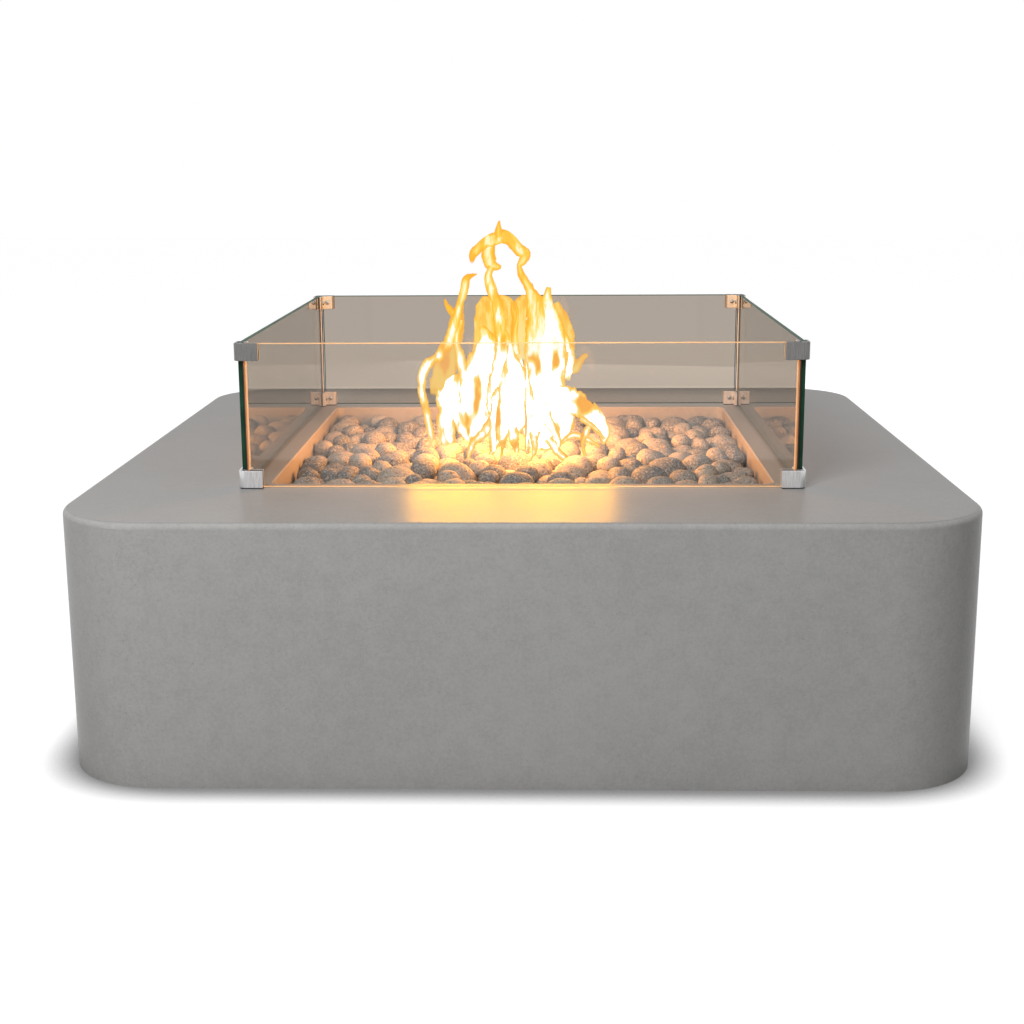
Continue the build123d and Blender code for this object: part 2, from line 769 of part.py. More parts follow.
def inside_recess(points):
    limit = recess_width / 2 - stone_wall_clearance
    corner = 2 * limit - recess_corner_radius
    spread = np.abs(points[:, :2])
    return spread.max() <= limit and spread.sum(axis=1).max() <= corner


class Pile:
    """Stones that already lie in the recess."""

    def __init__(self):
        self.stones = []
        self.middles = np.empty((0, 2))
        self.reaches = np.empty(0)
        self.tops = np.empty(0)

    def add(self, stone, middle):
        self.stones.append(stone)
        self.middles = np.vstack([self.middles, middle[:2]])
        self.reaches = np.append(self.reaches, stone.reach)
        self.tops = np.append(self.tops, stone.points[:, 2].max())

    def under(self, stone, spot):
        """Indices of the stones that this one could fall on, the highest first."""
        apart = np.hypot(self.middles[:, 0] - spot[0], self.middles[:, 1] - spot[1])
        near = np.nonzero(apart < stone.reach + self.reaches)[0]
        return near[np.argsort(-self.tops[near])]


def resting_height(stone, spot, pile):
    """Height of the stone's middle when dropped at a spot, or None outside the recess."""
    start = np.array([spot[0], spot[1], 2 * body_height])
    falling = stone.moved(start)
    if not inside_recess(falling.points):
        return None
    lowest = falling.points[:, 2].min()
    drop = lowest - gravel_top
    for index in pile.under(stone, spot):
        if lowest - pile.tops[index] >= drop:
            break
        drop = min(drop, fall_between(falling, pile.stones[index]))
    return start[2] - drop + stone_gap


def level_at(spot):
    outward = max(abs(spot[0]), abs(spot[1])) / (recess_width / 2)
    return body_height + stone_edge_level + stone_mound * (1 - outward * outward)


def settle(stone, pile, chance):
    """Drop a stone at several spots, keep the lowest, and let it roll lower still."""
    half = recess_width / 2
    best = None
    for trial in range(stone_trials):
        spot = (chance.uniform(-half, half), chance.uniform(-half, half))
        height = resting_height(stone, spot, pile)
        if height is not None and (best is None or height < best[0]):
            best = (height, spot)
    if best is None:
        return None
    for stride in stone_roll_strides:
        rolling = True
        while rolling:
            rolling = False
            for turn in range(stone_roll_directions):
                angle = 2 * math.pi * turn / stone_roll_directions
                spot = (best[1][0] + stride * math.cos(angle), best[1][1] + stride * math.sin(angle))
                height = resting_height(stone, spot, pile)
                if height is not None and height < best[0] - stone_roll_least_fall:
                    best = (height, spot)
                    rolling = True
                    break
    return np.array([best[1][0], best[1][1], best[0]])


def pour_stones():
    chance = random.Random(stone_seed)
    pile = Pile()
    misses = 0
    while misses < stone_misses:
        stone = make_stone(chance)
        place = settle(stone, pile, chance)
        if place is None or stone.points[:, 2].max() + place[2] > level_at(place):
            misses += 1
            continue
        misses = 0
        pile.add(stone.moved(place), place)
    return [ConvexPolyhedron([tuple(point) for point in stone.points]) for stone in pile.stones]


# Assembly

def make_parts():
    parts = {
        "concrete_body": make_concrete_body(),
        "burner_pan": make_burner_pan(),
        "burner_tubes": make_burner(),
        "burner_nipple": make_burner_nipple(),
        "pan_lock_nut": make_pan_lock_nut(),
        "air_mixer": make_air_mixer(),
        "mixer_elbow": make_mixer_elbow(),
        "gas_hose": make_gas_hose(),
        "valve_body": make_valve_body(),
        "valve_lock_nut": make_valve_lock_nut(),
        "valve_escutcheon": make_valve_escutcheon(),
        "valve_stem": make_valve_stem(),
        "access_frame": make_access_frame(),
        "hinge_pins": make_hinge_pins(),
        "magnet_catch": make_magnet_catch(),
        "access_door": make_access_door(),
        "strike_plate": make_strike_plate(),
        "door_pull": make_door_pull(),
        "lava_gravel": make_lava_gravel(),
        "lava_stones": pour_stones(),
    }
    parts["hose_nut_burner"], parts["hose_nut_valve"] = make_hose_nuts()
    parts["gas_key"], parts["key_bar"] = make_gas_key()
    parts["frame_screws"] = make_plate_screws(door_plane, flange_width, flange_height, flange_sheet)
    parts["vent_left"] = left_plane * make_vent()
    parts["vent_right"] = right_plane * make_vent()
    parts["vent_screws"] = [
        screw
        for plane in (left_plane, right_plane)
        for screw in make_plate_screws(plane, vent_width, vent_height, vent_sheet)
    ]
    for corner, turn in corner_turns.items():
        parts["top_clamp_" + corner] = Rot(0, 0, turn) * Pos(0, 0, top_clamp_z) * make_clamp()
        parts["bottom_clamp_" + corner] = Rot(0, 0, turn) * Pos(0, 0, bottom_clamp_z) * make_clamp()
    for side, turn in pane_turns.items():
        parts["glass_" + side] = Rot(0, 0, turn) * make_pane()
    heights = (bottom_clamp_z, top_clamp_z)
    parts["clamp_screws"] = around_guard(make_clamp_screws(), heights)
    parts["glass_gaskets"] = around_guard(make_gaskets(), heights)
    parts["guard_feet"] = around_guard([extrude(clamp_outline(foot_inset), foot_thickness)], [body_height])
    return parts


os.makedirs("parts", exist_ok=True)
for name, shape in make_parts().items():
    if isinstance(shape, list):
        shape = Compound(children=[piece.solid() for piece in shape])
    export_step(shape, os.path.join("parts", name + ".step"))
    print(name)
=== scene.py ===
import bmesh
import bpy
import math
import numpy as np
from mathutils import Matrix, Vector


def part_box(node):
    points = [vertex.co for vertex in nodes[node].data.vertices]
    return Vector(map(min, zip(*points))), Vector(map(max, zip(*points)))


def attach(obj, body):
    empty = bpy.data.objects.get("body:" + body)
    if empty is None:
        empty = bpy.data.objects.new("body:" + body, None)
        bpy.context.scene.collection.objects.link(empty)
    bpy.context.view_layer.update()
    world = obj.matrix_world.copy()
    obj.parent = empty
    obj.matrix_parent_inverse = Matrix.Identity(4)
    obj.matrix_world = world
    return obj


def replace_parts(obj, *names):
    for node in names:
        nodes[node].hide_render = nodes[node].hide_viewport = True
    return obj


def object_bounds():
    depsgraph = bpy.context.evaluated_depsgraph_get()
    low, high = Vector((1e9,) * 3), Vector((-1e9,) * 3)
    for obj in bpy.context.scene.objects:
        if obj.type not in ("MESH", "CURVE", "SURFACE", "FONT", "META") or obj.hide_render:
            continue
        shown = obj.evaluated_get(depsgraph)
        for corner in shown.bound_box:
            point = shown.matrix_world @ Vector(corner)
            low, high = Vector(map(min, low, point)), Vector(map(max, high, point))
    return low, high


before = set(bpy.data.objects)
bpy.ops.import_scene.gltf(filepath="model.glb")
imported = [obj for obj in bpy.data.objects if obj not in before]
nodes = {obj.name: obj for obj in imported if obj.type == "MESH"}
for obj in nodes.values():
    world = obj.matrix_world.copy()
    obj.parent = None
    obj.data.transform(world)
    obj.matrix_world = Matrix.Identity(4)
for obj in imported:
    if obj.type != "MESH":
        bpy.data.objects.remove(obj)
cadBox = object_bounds()
scene = bpy.context.scene
scene.view_settings.view_transform = "Standard"
scene.cycles.transparent_max_bounces = 40  # panes and flame lie in many layers
print("frame loaded:", len(nodes), "nodes")


# Shader maths

class Wire:  # an output socket that works in sums
    def __init__(self, finish, socket):
        self.finish = finish
        self.socket = socket

    def maths(self, operation, first, second):
        return self.finish.node("ShaderNodeMath", {"operation": operation}, {0: first, 1: second})

    def __add__(self, other):
        return self.maths("ADD", self, other)

    def __sub__(self, other):
        return self.maths("SUBTRACT", self, other)

    def __rsub__(self, other):
        return self.maths("SUBTRACT", other, self)

    def __mul__(self, other):
        return self.maths("MULTIPLY", self, other)

    def __pow__(self, other):
        return self.maths("POWER", self, other)

    def __abs__(self):
        return self.maths("ABSOLUTE", self, 0)

    def least(self, other):
        return self.maths("MINIMUM", self, other)

    def most(self, other):
        return self.maths("MAXIMUM", self, other)

    __radd__ = __add__
    __rmul__ = __mul__


class Finish:  # one material and its nodes
    def __init__(self, name):
        self.material = bpy.data.materials.new(name)
        self.material.use_nodes = True
        self.tree = self.material.node_tree
        self.tree.nodes.clear()
        self.spot = self.node("ShaderNodeTexCoord", out="Object")

    def node(self, kind, settings=None, sockets=None, out=0):
        made = self.tree.nodes.new(kind)
        for key, value in (settings or {}).items():
            if key == "stops":
                fillRamp(made.color_ramp, value)
            else:
                setattr(made, key, value)
        for key, value in (sockets or {}).items():
            if isinstance(value, Wire):
                self.tree.links.new(value.socket, made.inputs[key])
            else:
                made.inputs[key].default_value = value
        return Wire(self, made.outputs[out]) if made.outputs else None

    def noise(self, size, detail=2.0, roughness=0.5, spot=None):  # size in metres
        sockets = {"Vector": spot or self.spot, "Scale": 1 / size, "Detail": detail, "Roughness": roughness}
        return self.node("ShaderNodeTexNoise", None, sockets, "Fac")

    def cells(self, size, out="Distance"):
        return self.node("ShaderNodeTexVoronoi", None, {"Vector": self.spot, "Scale": 1 / size}, out)

    def stretched(self, scale):  # the place, squeezed along its axes
        return self.node("ShaderNodeVectorMath", {"operation": "MULTIPLY"}, {0: self.spot, 1: scale})

    def part(self, axis, vector=None):  # the place, or another vector, along one axis
        return self.node("ShaderNodeSeparateXYZ", None, {0: vector or self.spot}, axis)

    def facing(self):  # the way the surface faces
        return self.node("ShaderNodeNewGeometry", out="Normal")

    def told(self, name):  # a number that the mesh carries at its points
        return self.node("ShaderNodeAttribute", {"attribute_name": name}, out="Fac")

    def between(self, value, low, high):  # 0 at low, 1 at high, smooth between
        sockets = {"Value": value, "From Min": low, "From Max": high}
        return self.node("ShaderNodeMapRange", {"interpolation_type": "SMOOTHSTEP"}, sockets)

    def ramp(self, value, stops):
        return self.node("ShaderNodeValToRGB", {"stops": stops}, {"Fac": value})

    def mix(self, share, first, second, blend="MIX"):
        settings = {"data_type": "RGBA", "blend_type": blend}
        sockets = {0: share, 6: opaque(first), 7: opaque(second)}  # 6 and 7 take its two colours
        return self.node("ShaderNodeMix", settings, sockets, 2)

    def bump(self, height, distance):
        return self.node("ShaderNodeBump", None, {"Height": height, "Distance": distance, "Strength": 1.0})

    def principled(self, **sockets):
        named = {socketNames[key]: opaque(value) for key, value in sockets.items()}
        return self.node("ShaderNodeBsdfPrincipled", None, named)

    def clear(self, color=(1.0, 1.0, 1.0)):  # lets light straight through
        return self.node("ShaderNodeBsdfTransparent", None, {"Color": opaque(color)})

    def shared(self, share, first, second):  # two shaders in one
        return self.node("ShaderNodeMixShader", None, {0: share, 1: first, 2: second})

    def done(self, shader):
        self.node("ShaderNodeOutputMaterial", None, {"Surface": shader})
        return self.material


socketNames = {
    "color": "Base Color", "rough": "Roughness", "metal": "Metallic", "normal": "Normal",
    "ior": "IOR", "specular": "Specular IOR Level",
}


def opaque(value):  # a colour of three numbers gets its fourth
    return (*value, 1.0) if isinstance(value, tuple) and len(value) == 3 else value


def fillRamp(ramp, stops):
    while len(ramp.elements) < len(stops):
        ramp.elements.new(1.0)
    for element, (place, color) in zip(ramp.elements, stops):
        element.position = place
        element.color = opaque(color)


# Mesh helpers

ease = {
    "weld": 0.00001,  # points closer than this are one
    "angle": 35.0,  # a sharper turn than this is an edge
    "segments": 2,
    "clampWidth": 0.0008,
    "plateWidth": 0.0004,
    "nutWidth": 0.0007,
}


def newPiece(name, mesh, materials, body):
    made = bpy.data.objects.new(name, mesh)
    scene.collection.objects.link(made)
    for material in materials:
        mesh.materials.append(material)
    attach(made, body)
    return made


def meshOf(name, points, faces):
    mesh = bpy.data.meshes.new(name)
    mesh.from_pydata([tuple(point) for point in points], [], [tuple(face) for face in faces])
    mesh.validate()
    mesh.polygons.foreach_set("use_smooth", [True] * len(mesh.polygons))
    mesh.update()
    return mesh


def looseSolids(node):  # each separate solid of a node: its points and its triangles
    mesh = nodes[node].data
    mesh.calc_loop_triangles()
    points = np.empty(len(mesh.vertices) * 3)
    mesh.vertices.foreach_get("co", points)
    corners = np.empty(len(mesh.loop_triangles) * 3, int)
    mesh.loop_triangles.foreach_get("vertices", corners)
    points, same = np.unique(np.round(points.reshape(-1, 3), 6), axis=0, return_inverse=True)
    triangles = same.reshape(-1)[corners].reshape(-1, 3)
    leader = np.arange(len(points))
    moving = True
    while moving:  # the lowest point number spreads over each solid
        lowest = leader[triangles].min(axis=1)
        before = leader.copy()
        for side in range(3):
            np.minimum.at(leader, triangles[:, side], lowest)
        moving = not np.array_equal(before, leader)
    solids = []
    for first in np.unique(leader):
        chosen = np.nonzero(leader == first)[0]
        place = {old: new for new, old in enumerate(chosen)}
        inside = triangles[leader[triangles[:, 0]] == first]
        own = [[place[corner] for corner in triangle] for triangle in inside]
        solids.append((points[chosen], np.array(own)))
    return solids


def dress(names, material):
    for name in names:
        mesh = nodes[name].data
        mesh.materials.clear()
        mesh.materials.append(material)


def easeEdges(names, width):
    for name in names:
        weld = nodes[name].modifiers.new("weld", "WELD")
        weld.merge_threshold = ease["weld"]
        bevel = nodes[name].modifiers.new("ease", "BEVEL")
        bevel.width = width
        bevel.segments = ease["segments"]
        bevel.limit_method = "ANGLE"
        bevel.angle_limit = math.radians(ease["angle"])
        bevel.harden_normals = True


# Camera, from the photograph's outlines

view = {
    "place": (0.0450, -2.5641, 0.8039),
    "pitch": -12.481,
    "yaw": 1.526,
    "roll": 0.320,
    "focalPixels": 1596.3,
    "imagePixels": 1024,
    "sensorWidth": 36.0,
}


def makeCamera():
    lens = bpy.data.cameras.new("camera")
    lens.sensor_width = view["sensorWidth"]
    lens.lens = view["focalPixels"] / view["imagePixels"] * lens.sensor_width
    camera = bpy.data.objects.new("camera", lens)
    scene.collection.objects.link(camera)
    turned = Matrix.Rotation(math.radians(view["yaw"]), 4, "Z")
    turned = turned @ Matrix.Rotation(math.radians(view["pitch"]), 4, "X")
    turned = turned @ Matrix.Rotation(math.radians(view["roll"]), 4, "Y")
    upright = Matrix.Rotation(math.radians(90), 4, "X")  # a camera looks down its own -Z
    camera.matrix_world = Matrix.Translation(view["place"]) @ turned @ upright
    scene.camera = camera


makeCamera()
print("camera set")


# Concrete

concrete = {
    "pale": (0.420, 0.414, 0.402),
    "dark": (0.365, 0.360, 0.350),
    "fleck": (0.52, 0.51, 0.49),
    "speck": (0.22, 0.215, 0.205),
    "cloud": 0.17,  # sizes of the mottling, from broad to fine
    "blotch": 0.022,
    "peel": 0.0055,
    "grain": 0.0018,
    "pore": 0.011,
    "toneRange": (0.34, 0.66),
    "fleckRange": (0.60, 0.74),
    "speckRange": (0.40, 0.24),
    "fleckShare": 0.35,
    "poreChosen": (0.55, 0.6),  # only some of the cells hold a pore
    "poreEdge": (0.085, 0.045),
    "poreShare": 0.6,
    "relief": 0.00012,
    "rough": 0.25,
    "specular": 0.075,
    "topShadeRange": (0.8, 0.98),
    "paintedTopShade": 0.81,  # the level top is darkened against the cast sides: painted shade
}


def concreteFinish(look):
    made = Finish("sealedConcrete")
    clouds = made.noise(look["cloud"], 4, 0.55)
    blotches = made.noise(look["blotch"], 3, 0.6)
    peel = made.noise(look["peel"], 2, 0.6)
    grain = made.noise(look["grain"], 1, 0.5)
    tone = made.between(clouds * 0.3 + blotches * 0.35 + peel * 0.35, *look["toneRange"])
    color = made.mix(tone, look["dark"], look["pale"])
    color = made.mix(made.between(grain, *look["fleckRange"]) * look["fleckShare"], color, look["fleck"])
    color = made.mix(made.between(grain, *look["speckRange"]) * look["fleckShare"], color, look["speck"])
    chosen = made.between(made.cells(look["pore"], "Color"), *look["poreChosen"])
    pores = made.between(made.cells(look["pore"]), *look["poreEdge"]) * chosen
    color = made.mix(pores * look["poreShare"], color, look["speck"])
    # upward faces are multiplied darker in colour: painted shade on the top
    level = made.between(made.part("Z", made.facing()), *look["topShadeRange"])
    color = made.mix(level, color, (look["paintedTopShade"],) * 3, "MULTIPLY")
    rough = blotches * 0.10 + peel * 0.08 + pores * 0.2 + look["rough"]
    normal = made.bump(peel + grain * 0.35 - pores * 0.8, look["relief"])
    return made.done(made.principled(color=color, rough=rough, normal=normal, specular=look["specular"]))


dress(["concrete_body"], concreteFinish(concrete))
print("concrete dressed")


# Metals, rubber and plastic

# one aluminium in two copies: the darker one on the top clamps is painted shade, the paler one on the bottom
# clamps a painted reflection of the concrete and floor below
litAluminium = {"pale": (0.86, 0.86, 0.87), "dark": (0.64, 0.64, 0.65), "rough": 0.34, "metal": 0.6}
shadedAluminium = {
    "pale": (0.235, 0.23, 0.225), "dark": (0.165, 0.16, 0.157), "rough": 0.38,
    "metal": 0.6,  # blasted metal is part matt
    "paintedFireLight": (0.86, 0.78, 0.62),  # faces towards the fire get a pale warm colour: painted firelight
}
stainless = {"pale": (0.60, 0.595, 0.585), "dark": (0.48, 0.475, 0.465), "rough": 0.26, "metal": 1.0}
screwSteel = {"pale": (0.63, 0.62, 0.61), "dark": (0.50, 0.49, 0.48), "rough": 0.2}
chrome = {"pale": (0.62, 0.62, 0.635), "dark": (0.44, 0.44, 0.455), "rough": 0.12}
brass = {"pale": (0.72, 0.52, 0.24), "dark": (0.55, 0.37, 0.15), "rough": 0.28}
brushed = {
    "level": (40.0, 40.0, 2600.0),  # how close the lines lie along each axis
    "upright": (1200.0, 1200.0, 60.0),
    "lineRange": (0.3, 0.7),
    "smudge": 0.03,
    "paintedFireLightRange": (0.6, 0.9),
    "relief": 0.00002,
}
cast = {"smudge": 0.012, "smudgeRange": (0.35, 0.65), "grain": 0.0009, "relief": 0.00001}
braid = {"scale": 150.0, "relief": 0.0004}
soft = {"grain": 0.0012, "bloom": 0.02, "bloomRange": (0.35, 0.7), "bloomShare": 0.5, "relief": 0.00003}


def brushedFinish(name, look, run):  # fine lines that run level or upright
    made = Finish(name)
    lines = made.noise(1.0, 3, 0.6, made.stretched(brushed[run]))
    smudges = made.noise(brushed["smudge"], 3, 0.6)
    color = made.mix(made.between(lines, *brushed["lineRange"]), look["dark"], look["pale"])
    # faces turned towards the fire are painted pale and warm: painted firelight
    if "paintedFireLight" in look:
        back = made.stretched((-1.0, -1.0, 0.0))
        inwards = made.node("ShaderNodeVectorMath", {"operation": "SIGN"}, {0: back})
        turned = made.node("ShaderNodeVectorMath", {"operation": "MULTIPLY"}, {0: made.facing(), 1: inwards})
        towardsFire = made.part("X", turned).most(made.part("Y", turned))
        color = made.mix(made.between(towardsFire, *brushed["paintedFireLightRange"]), color, look["paintedFireLight"])
    rough = lines * 0.16 + smudges * 0.12 + (look["rough"] - 0.14)
    normal = made.bump(lines, brushed["relief"])
    return made.done(made.principled(color=color, rough=rough, metal=look["metal"], normal=normal))


def castFinish(name, look):  # turned or cast metal with faint smudges
    made = Finish(name)
    smudges = made.noise(cast["smudge"], 4, 0.6)
    color = made.mix(made.between(smudges, *cast["smudgeRange"]), look["dark"], look["pale"])
    rough = smudges * 0.12 + (look["rough"] - 0.05)
    normal = made.bump(made.noise(cast["grain"], 2, 0.6), cast["relief"])
    return made.done(made.principled(color=color, rough=rough, metal=1.0, normal=normal))


def braidFinish(name, look):  # woven wire round the hose
    made = Finish(name)
    wires = []
    for spot in (made.spot, made.stretched((-1.0, -1.0, 1.0))):  # one set of wires each way
        sockets = {"Vector": spot, "Scale": braid["scale"], "Distortion": 0.0}
        wires.append(made.node("ShaderNodeTexWave", {"bands_direction": "DIAGONAL"}, sockets, "Fac"))
    weave = wires[0].most(wires[1])
    color = made.mix(weave, look["dark"], look["pale"])
    normal = made.bump(weave, braid["relief"])
    return made.done(made.principled(color=color, rough=0.5 - weave * 0.2, metal=1.0, normal=normal))


def softFinish(name, color, rough):  # rubber and plastic
    made = Finish(name)
    bloom = made.noise(soft["bloom"], 3, 0.6)
    paler = tuple(0.02 + 1.25 * part for part in color)
    shade = made.mix(made.between(bloom, *soft["bloomRange"]) * soft["bloomShare"], color, paler)
    normal = made.bump(made.noise(soft["grain"], 2, 0.6), soft["relief"])
    return made.done(made.principled(color=shade, rough=rough + bloom * 0.15, normal=normal))


topClamps = [name for name in nodes if name.startswith("top_clamp_")]
bottomClamps = [name for name in nodes if name.startswith("bottom_clamp_")]
vents = ["vent_left", "vent_right"]
nuts = ["pan_lock_nut", "valve_lock_nut", "hose_nut_burner", "hose_nut_valve"]
steelFinish = brushedFinish("brushedStainless", stainless, "level")
screwFinish = castFinish("screwSteel", screwSteel)
# top clamps take the darker copy, bottom clamps the paler: painted shade and painted reflection
dress(topClamps, brushedFinish("shadedAluminium", shadedAluminium, "upright"))
dress(bottomClamps, brushedFinish("litAluminium", litAluminium, "upright"))
dress(["burner_pan", "burner_tubes", "access_frame", "access_door", "door_pull"] + vents, steelFinish)
dress(["gas_hose"], braidFinish("braidedSteel", stainless))
dress(["hinge_pins", "strike_plate"], screwFinish)
dress(["valve_escutcheon", "gas_key", "key_bar"], castFinish("polishedChrome", chrome))
brassFinish = castFinish("turnedBrass", brass)
dress(["burner_nipple", "air_mixer", "mixer_elbow", "valve_body", "valve_stem"] + nuts, brassFinish)
dress(["magnet_catch"], softFinish("catchPlastic", (0.025, 0.025, 0.027), 0.45))
dress(["glass_gaskets"], softFinish("gasketRubber", (0.075, 0.075, 0.075), 0.55))
dress(["guard_feet"], softFinish("footRubber", (0.03, 0.03, 0.03), 0.6))
easeEdges(topClamps + bottomClamps, ease["clampWidth"])
easeEdges(["access_door", "access_frame", "strike_plate"] + vents, ease["plateWidth"])
easeEdges(nuts, ease["nutWidth"])
print("metal, rubber and plastic dressed")


# Button head screws with a hexagon socket

screws = {
    "domeSteps": 7,
    "around": 32,
    "edge": 0.16,  # share of the head's height
    "socketShare": 0.42,
    "socketDepth": 0.62,
    "lip": 1.18,  # where the dome ends, beside the socket's reach
    "headFrom": 0.9,  # points out here belong to the head
}


def screwMesh(headRadius, headHeight, look):
    edge = look["edge"] * headHeight
    socket = look["socketShare"] * headRadius
    profile = [(headRadius, 0.0), (headRadius, edge)]
    for step in range(1, look["domeSteps"] + 1):  # dome, from the edge to the socket's lip
        share = step / look["domeSteps"]
        radius = headRadius + (look["lip"] * socket - headRadius) * share
        lift = math.sqrt(max(0.0, 1 - (radius / headRadius) ** 2))
        profile.append((radius, edge + (headHeight - edge) * lift))
    points = []
    faces = []
    around = look["around"]
    for radius, height in profile:
        points += [(radius * math.cos(turn), radius * math.sin(turn), height) for turn in turns(around)]
    for height in (profile[-1][1], headHeight * (1 - look["socketDepth"])):  # hexagon wall of the socket
        points += [hexPoint(turn, socket, height) for turn in turns(around)]
    rings = len(profile) + 2
    for ring in range(rings - 1):
        for side in range(around):
            after = (side + 1) % around
            faces.append((ring * around + side, ring * around + after,
                          (ring + 1) * around + after, (ring + 1) * around + side))
    faces.append([(rings - 1) * around + side for side in range(around)])
    faces.append([side for side in reversed(range(around))])
    return points, faces


def turns(count):
    return [2 * math.pi * step / count for step in range(count)]


def hexPoint(turn, reach, height):
    halfSide = math.pi / 6
    within = (turn + halfSide) % (math.pi / 3) - halfSide
    radius = reach * math.cos(halfSide) / math.cos(within)
    return (radius * math.cos(turn), radius * math.sin(turn), height)


def screwPlaces(node):  # the foot of each head, the way it faces, its radius and its height
    places = []
    for points, triangles in looseSolids(node):
        low, high = points.min(axis=0), points.max(axis=0)
        size = high - low
        axis = int(np.argmax(np.abs(size - np.median(size))))
        middle = (low + high) / 2
        away = points - middle
        away[:, axis] = 0
        reach = np.linalg.norm(away, axis=1)
        headed = points[reach > screws["headFrom"] * reach.max()][:, axis]
        facing = np.zeros(3)
        facing[axis] = 1.0 if headed.mean() > middle[axis] else -1.0
        foot = middle.copy()
        foot[axis] = headed.min() if facing[axis] > 0 else headed.max()
        tip = high[axis] if facing[axis] > 0 else low[axis]
        places.append((Vector(foot), Vector(facing), float(reach.max()), float(abs(tip - foot[axis]))))
    return places


def makeScrews(node, name, body):
    points = []
    faces = []
    for foot, facing, radius, height in screwPlaces(node):
        own, ownFaces = screwMesh(radius, height, screws)
        turned = facing.to_track_quat("Z", "Y")
        base = len(points)
        points += [foot + turned @ Vector(point) for point in own]
        faces += [[base + corner for corner in face] for face in ownFaces]
    mesh = meshOf(name, points, faces)
    mesh.set_sharp_from_angle(angle=math.radians(ease["angle"]))
    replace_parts(newPiece(name, mesh, [screwFinish], body), node)


makeScrews("clamp_screws", "clamp_button_screws", "wind_guard")
makeScrews("frame_screws", "frame_button_screws", "fire_table")
makeScrews("vent_screws", "vent_button_screws", "fire_table")
print("screws made")


# Glass panes with ground edges

glass = {
    "frontTint": (0.97, 0.95, 0.92),  # what each of a pane's two faces lets through; the back and side panes are darker than the front: painted shade for grey surroundings seen through them
    "backTint": (0.65, 0.605, 0.56),
    "sideTint": (0.56, 0.52, 0.48),
    "backFoot": (0.94, 0.885, 0.83),  # the panes are paler towards the foot: painted light of the lit concrete behind them
    "sideFoot": (0.72, 0.67, 0.62),
    "footRange": (0.367, 0.394),
    "backGloss": 0.012,  # share mirrored by each face when seen square on
    "gloss": 0.04,
    "sideGloss": 0.10,
    "mirror": (0.92, 0.92, 0.90),
    "film": 0.06,
    "filmRange": (0.3, 0.8),
    "filmRough": 0.008,
    "ior": 1.5,
    "arris": 0.0011,
    "polishedBand": 0.0036,
    "edge": (0.008, 0.032, 0.018),
    "edgePaler": 2.2,
    "edgeGrain": 0.0015,
    "edgePatch": 0.05,
    "edgeSpecular": 0.1,
    "ground": (0.95, 0.84, 0.62),
    "groundDark": (0.34, 0.22, 0.12),
    "groundClear": (0.9, 0.92, 0.88),
    "groundPatch": 0.035,
    "groundGlow": 0.85,  # share that passes light on
    "groundCover": 0.8,
    "patchRange": (0.3, 0.7),
}


def paneFinish(name, tint, foot, gloss):
    made = Finish(name)
    film = made.noise(glass["film"], 3, 0.55)
    rough = made.between(film, *glass["filmRange"]) * glass["filmRough"]
    mirror = made.principled(color=glass["mirror"], rough=rough, metal=1.0)
    # paler tint near the foot of each pane: painted light
    darkAboveFoot = made.between(made.part("Z"), *glass["footRange"])
    through = made.shared(darkAboveFoot, made.clear(foot), made.clear(tint))
    slant = made.node("ShaderNodeLayerWeight", None, {"Blend": 0.5}, "Facing")
    mirrored = slant ** 5 * (1 - gloss) + gloss
    return made.done(made.shared(mirrored, through, mirror))


def edgeFinish(look):
    made = Finish("greenGlassEdge")
    rough = made.noise(look["edgeGrain"], 3, 0.6) * 0.2 + 0.35
    patches = made.between(made.noise(look["edgePatch"], 2, 0.5), *look["patchRange"])
    color = made.mix(patches, look["edge"], tuple(look["edgePaler"] * part for part in look["edge"]))
    shader = made.principled(color=color, rough=rough, ior=look["ior"], specular=look["edgeSpecular"])
    return made.done(shader)


def groundFinish(look):  # ground ends that pass the fire's light on, dimmer at the very edge
    made = Finish("groundGlass")
    patches = made.between(made.noise(look["groundPatch"], 3, 0.6), *look["patchRange"])
    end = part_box("glass_front")[1].x
    inner = made.between(abs(made.part("X")), end - look["arris"], end - look["polishedBand"])
    color = made.mix(patches, look["groundDark"], look["ground"])
    sheen = made.principled(color=color, rough=0.35, ior=look["ior"])
    dim = made.node("ShaderNodeBsdfTranslucent", None, {"Color": opaque(look["groundDark"])})
    bright = made.node("ShaderNodeBsdfTranslucent", None, {"Color": opaque(look["ground"])})
    passed = made.shared(look["groundGlow"], sheen, made.shared(inner, dim, bright))
    return made.done(made.shared(look["groundCover"], made.clear(look["groundClear"]), passed))


# the same glass in three tints, darker at the back and sides: painted shade
clearGlass = paneFinish("clearGlass", glass["frontTint"], glass["frontTint"], glass["gloss"])
backGlass = paneFinish("shadedGlassBack", glass["backTint"], glass["backFoot"], glass["backGloss"])
sideGlass = paneFinish("shadedGlassSide", glass["sideTint"], glass["sideFoot"], glass["sideGloss"])
glassEdge = edgeFinish(glass)
groundEdge = groundFinish(glass)


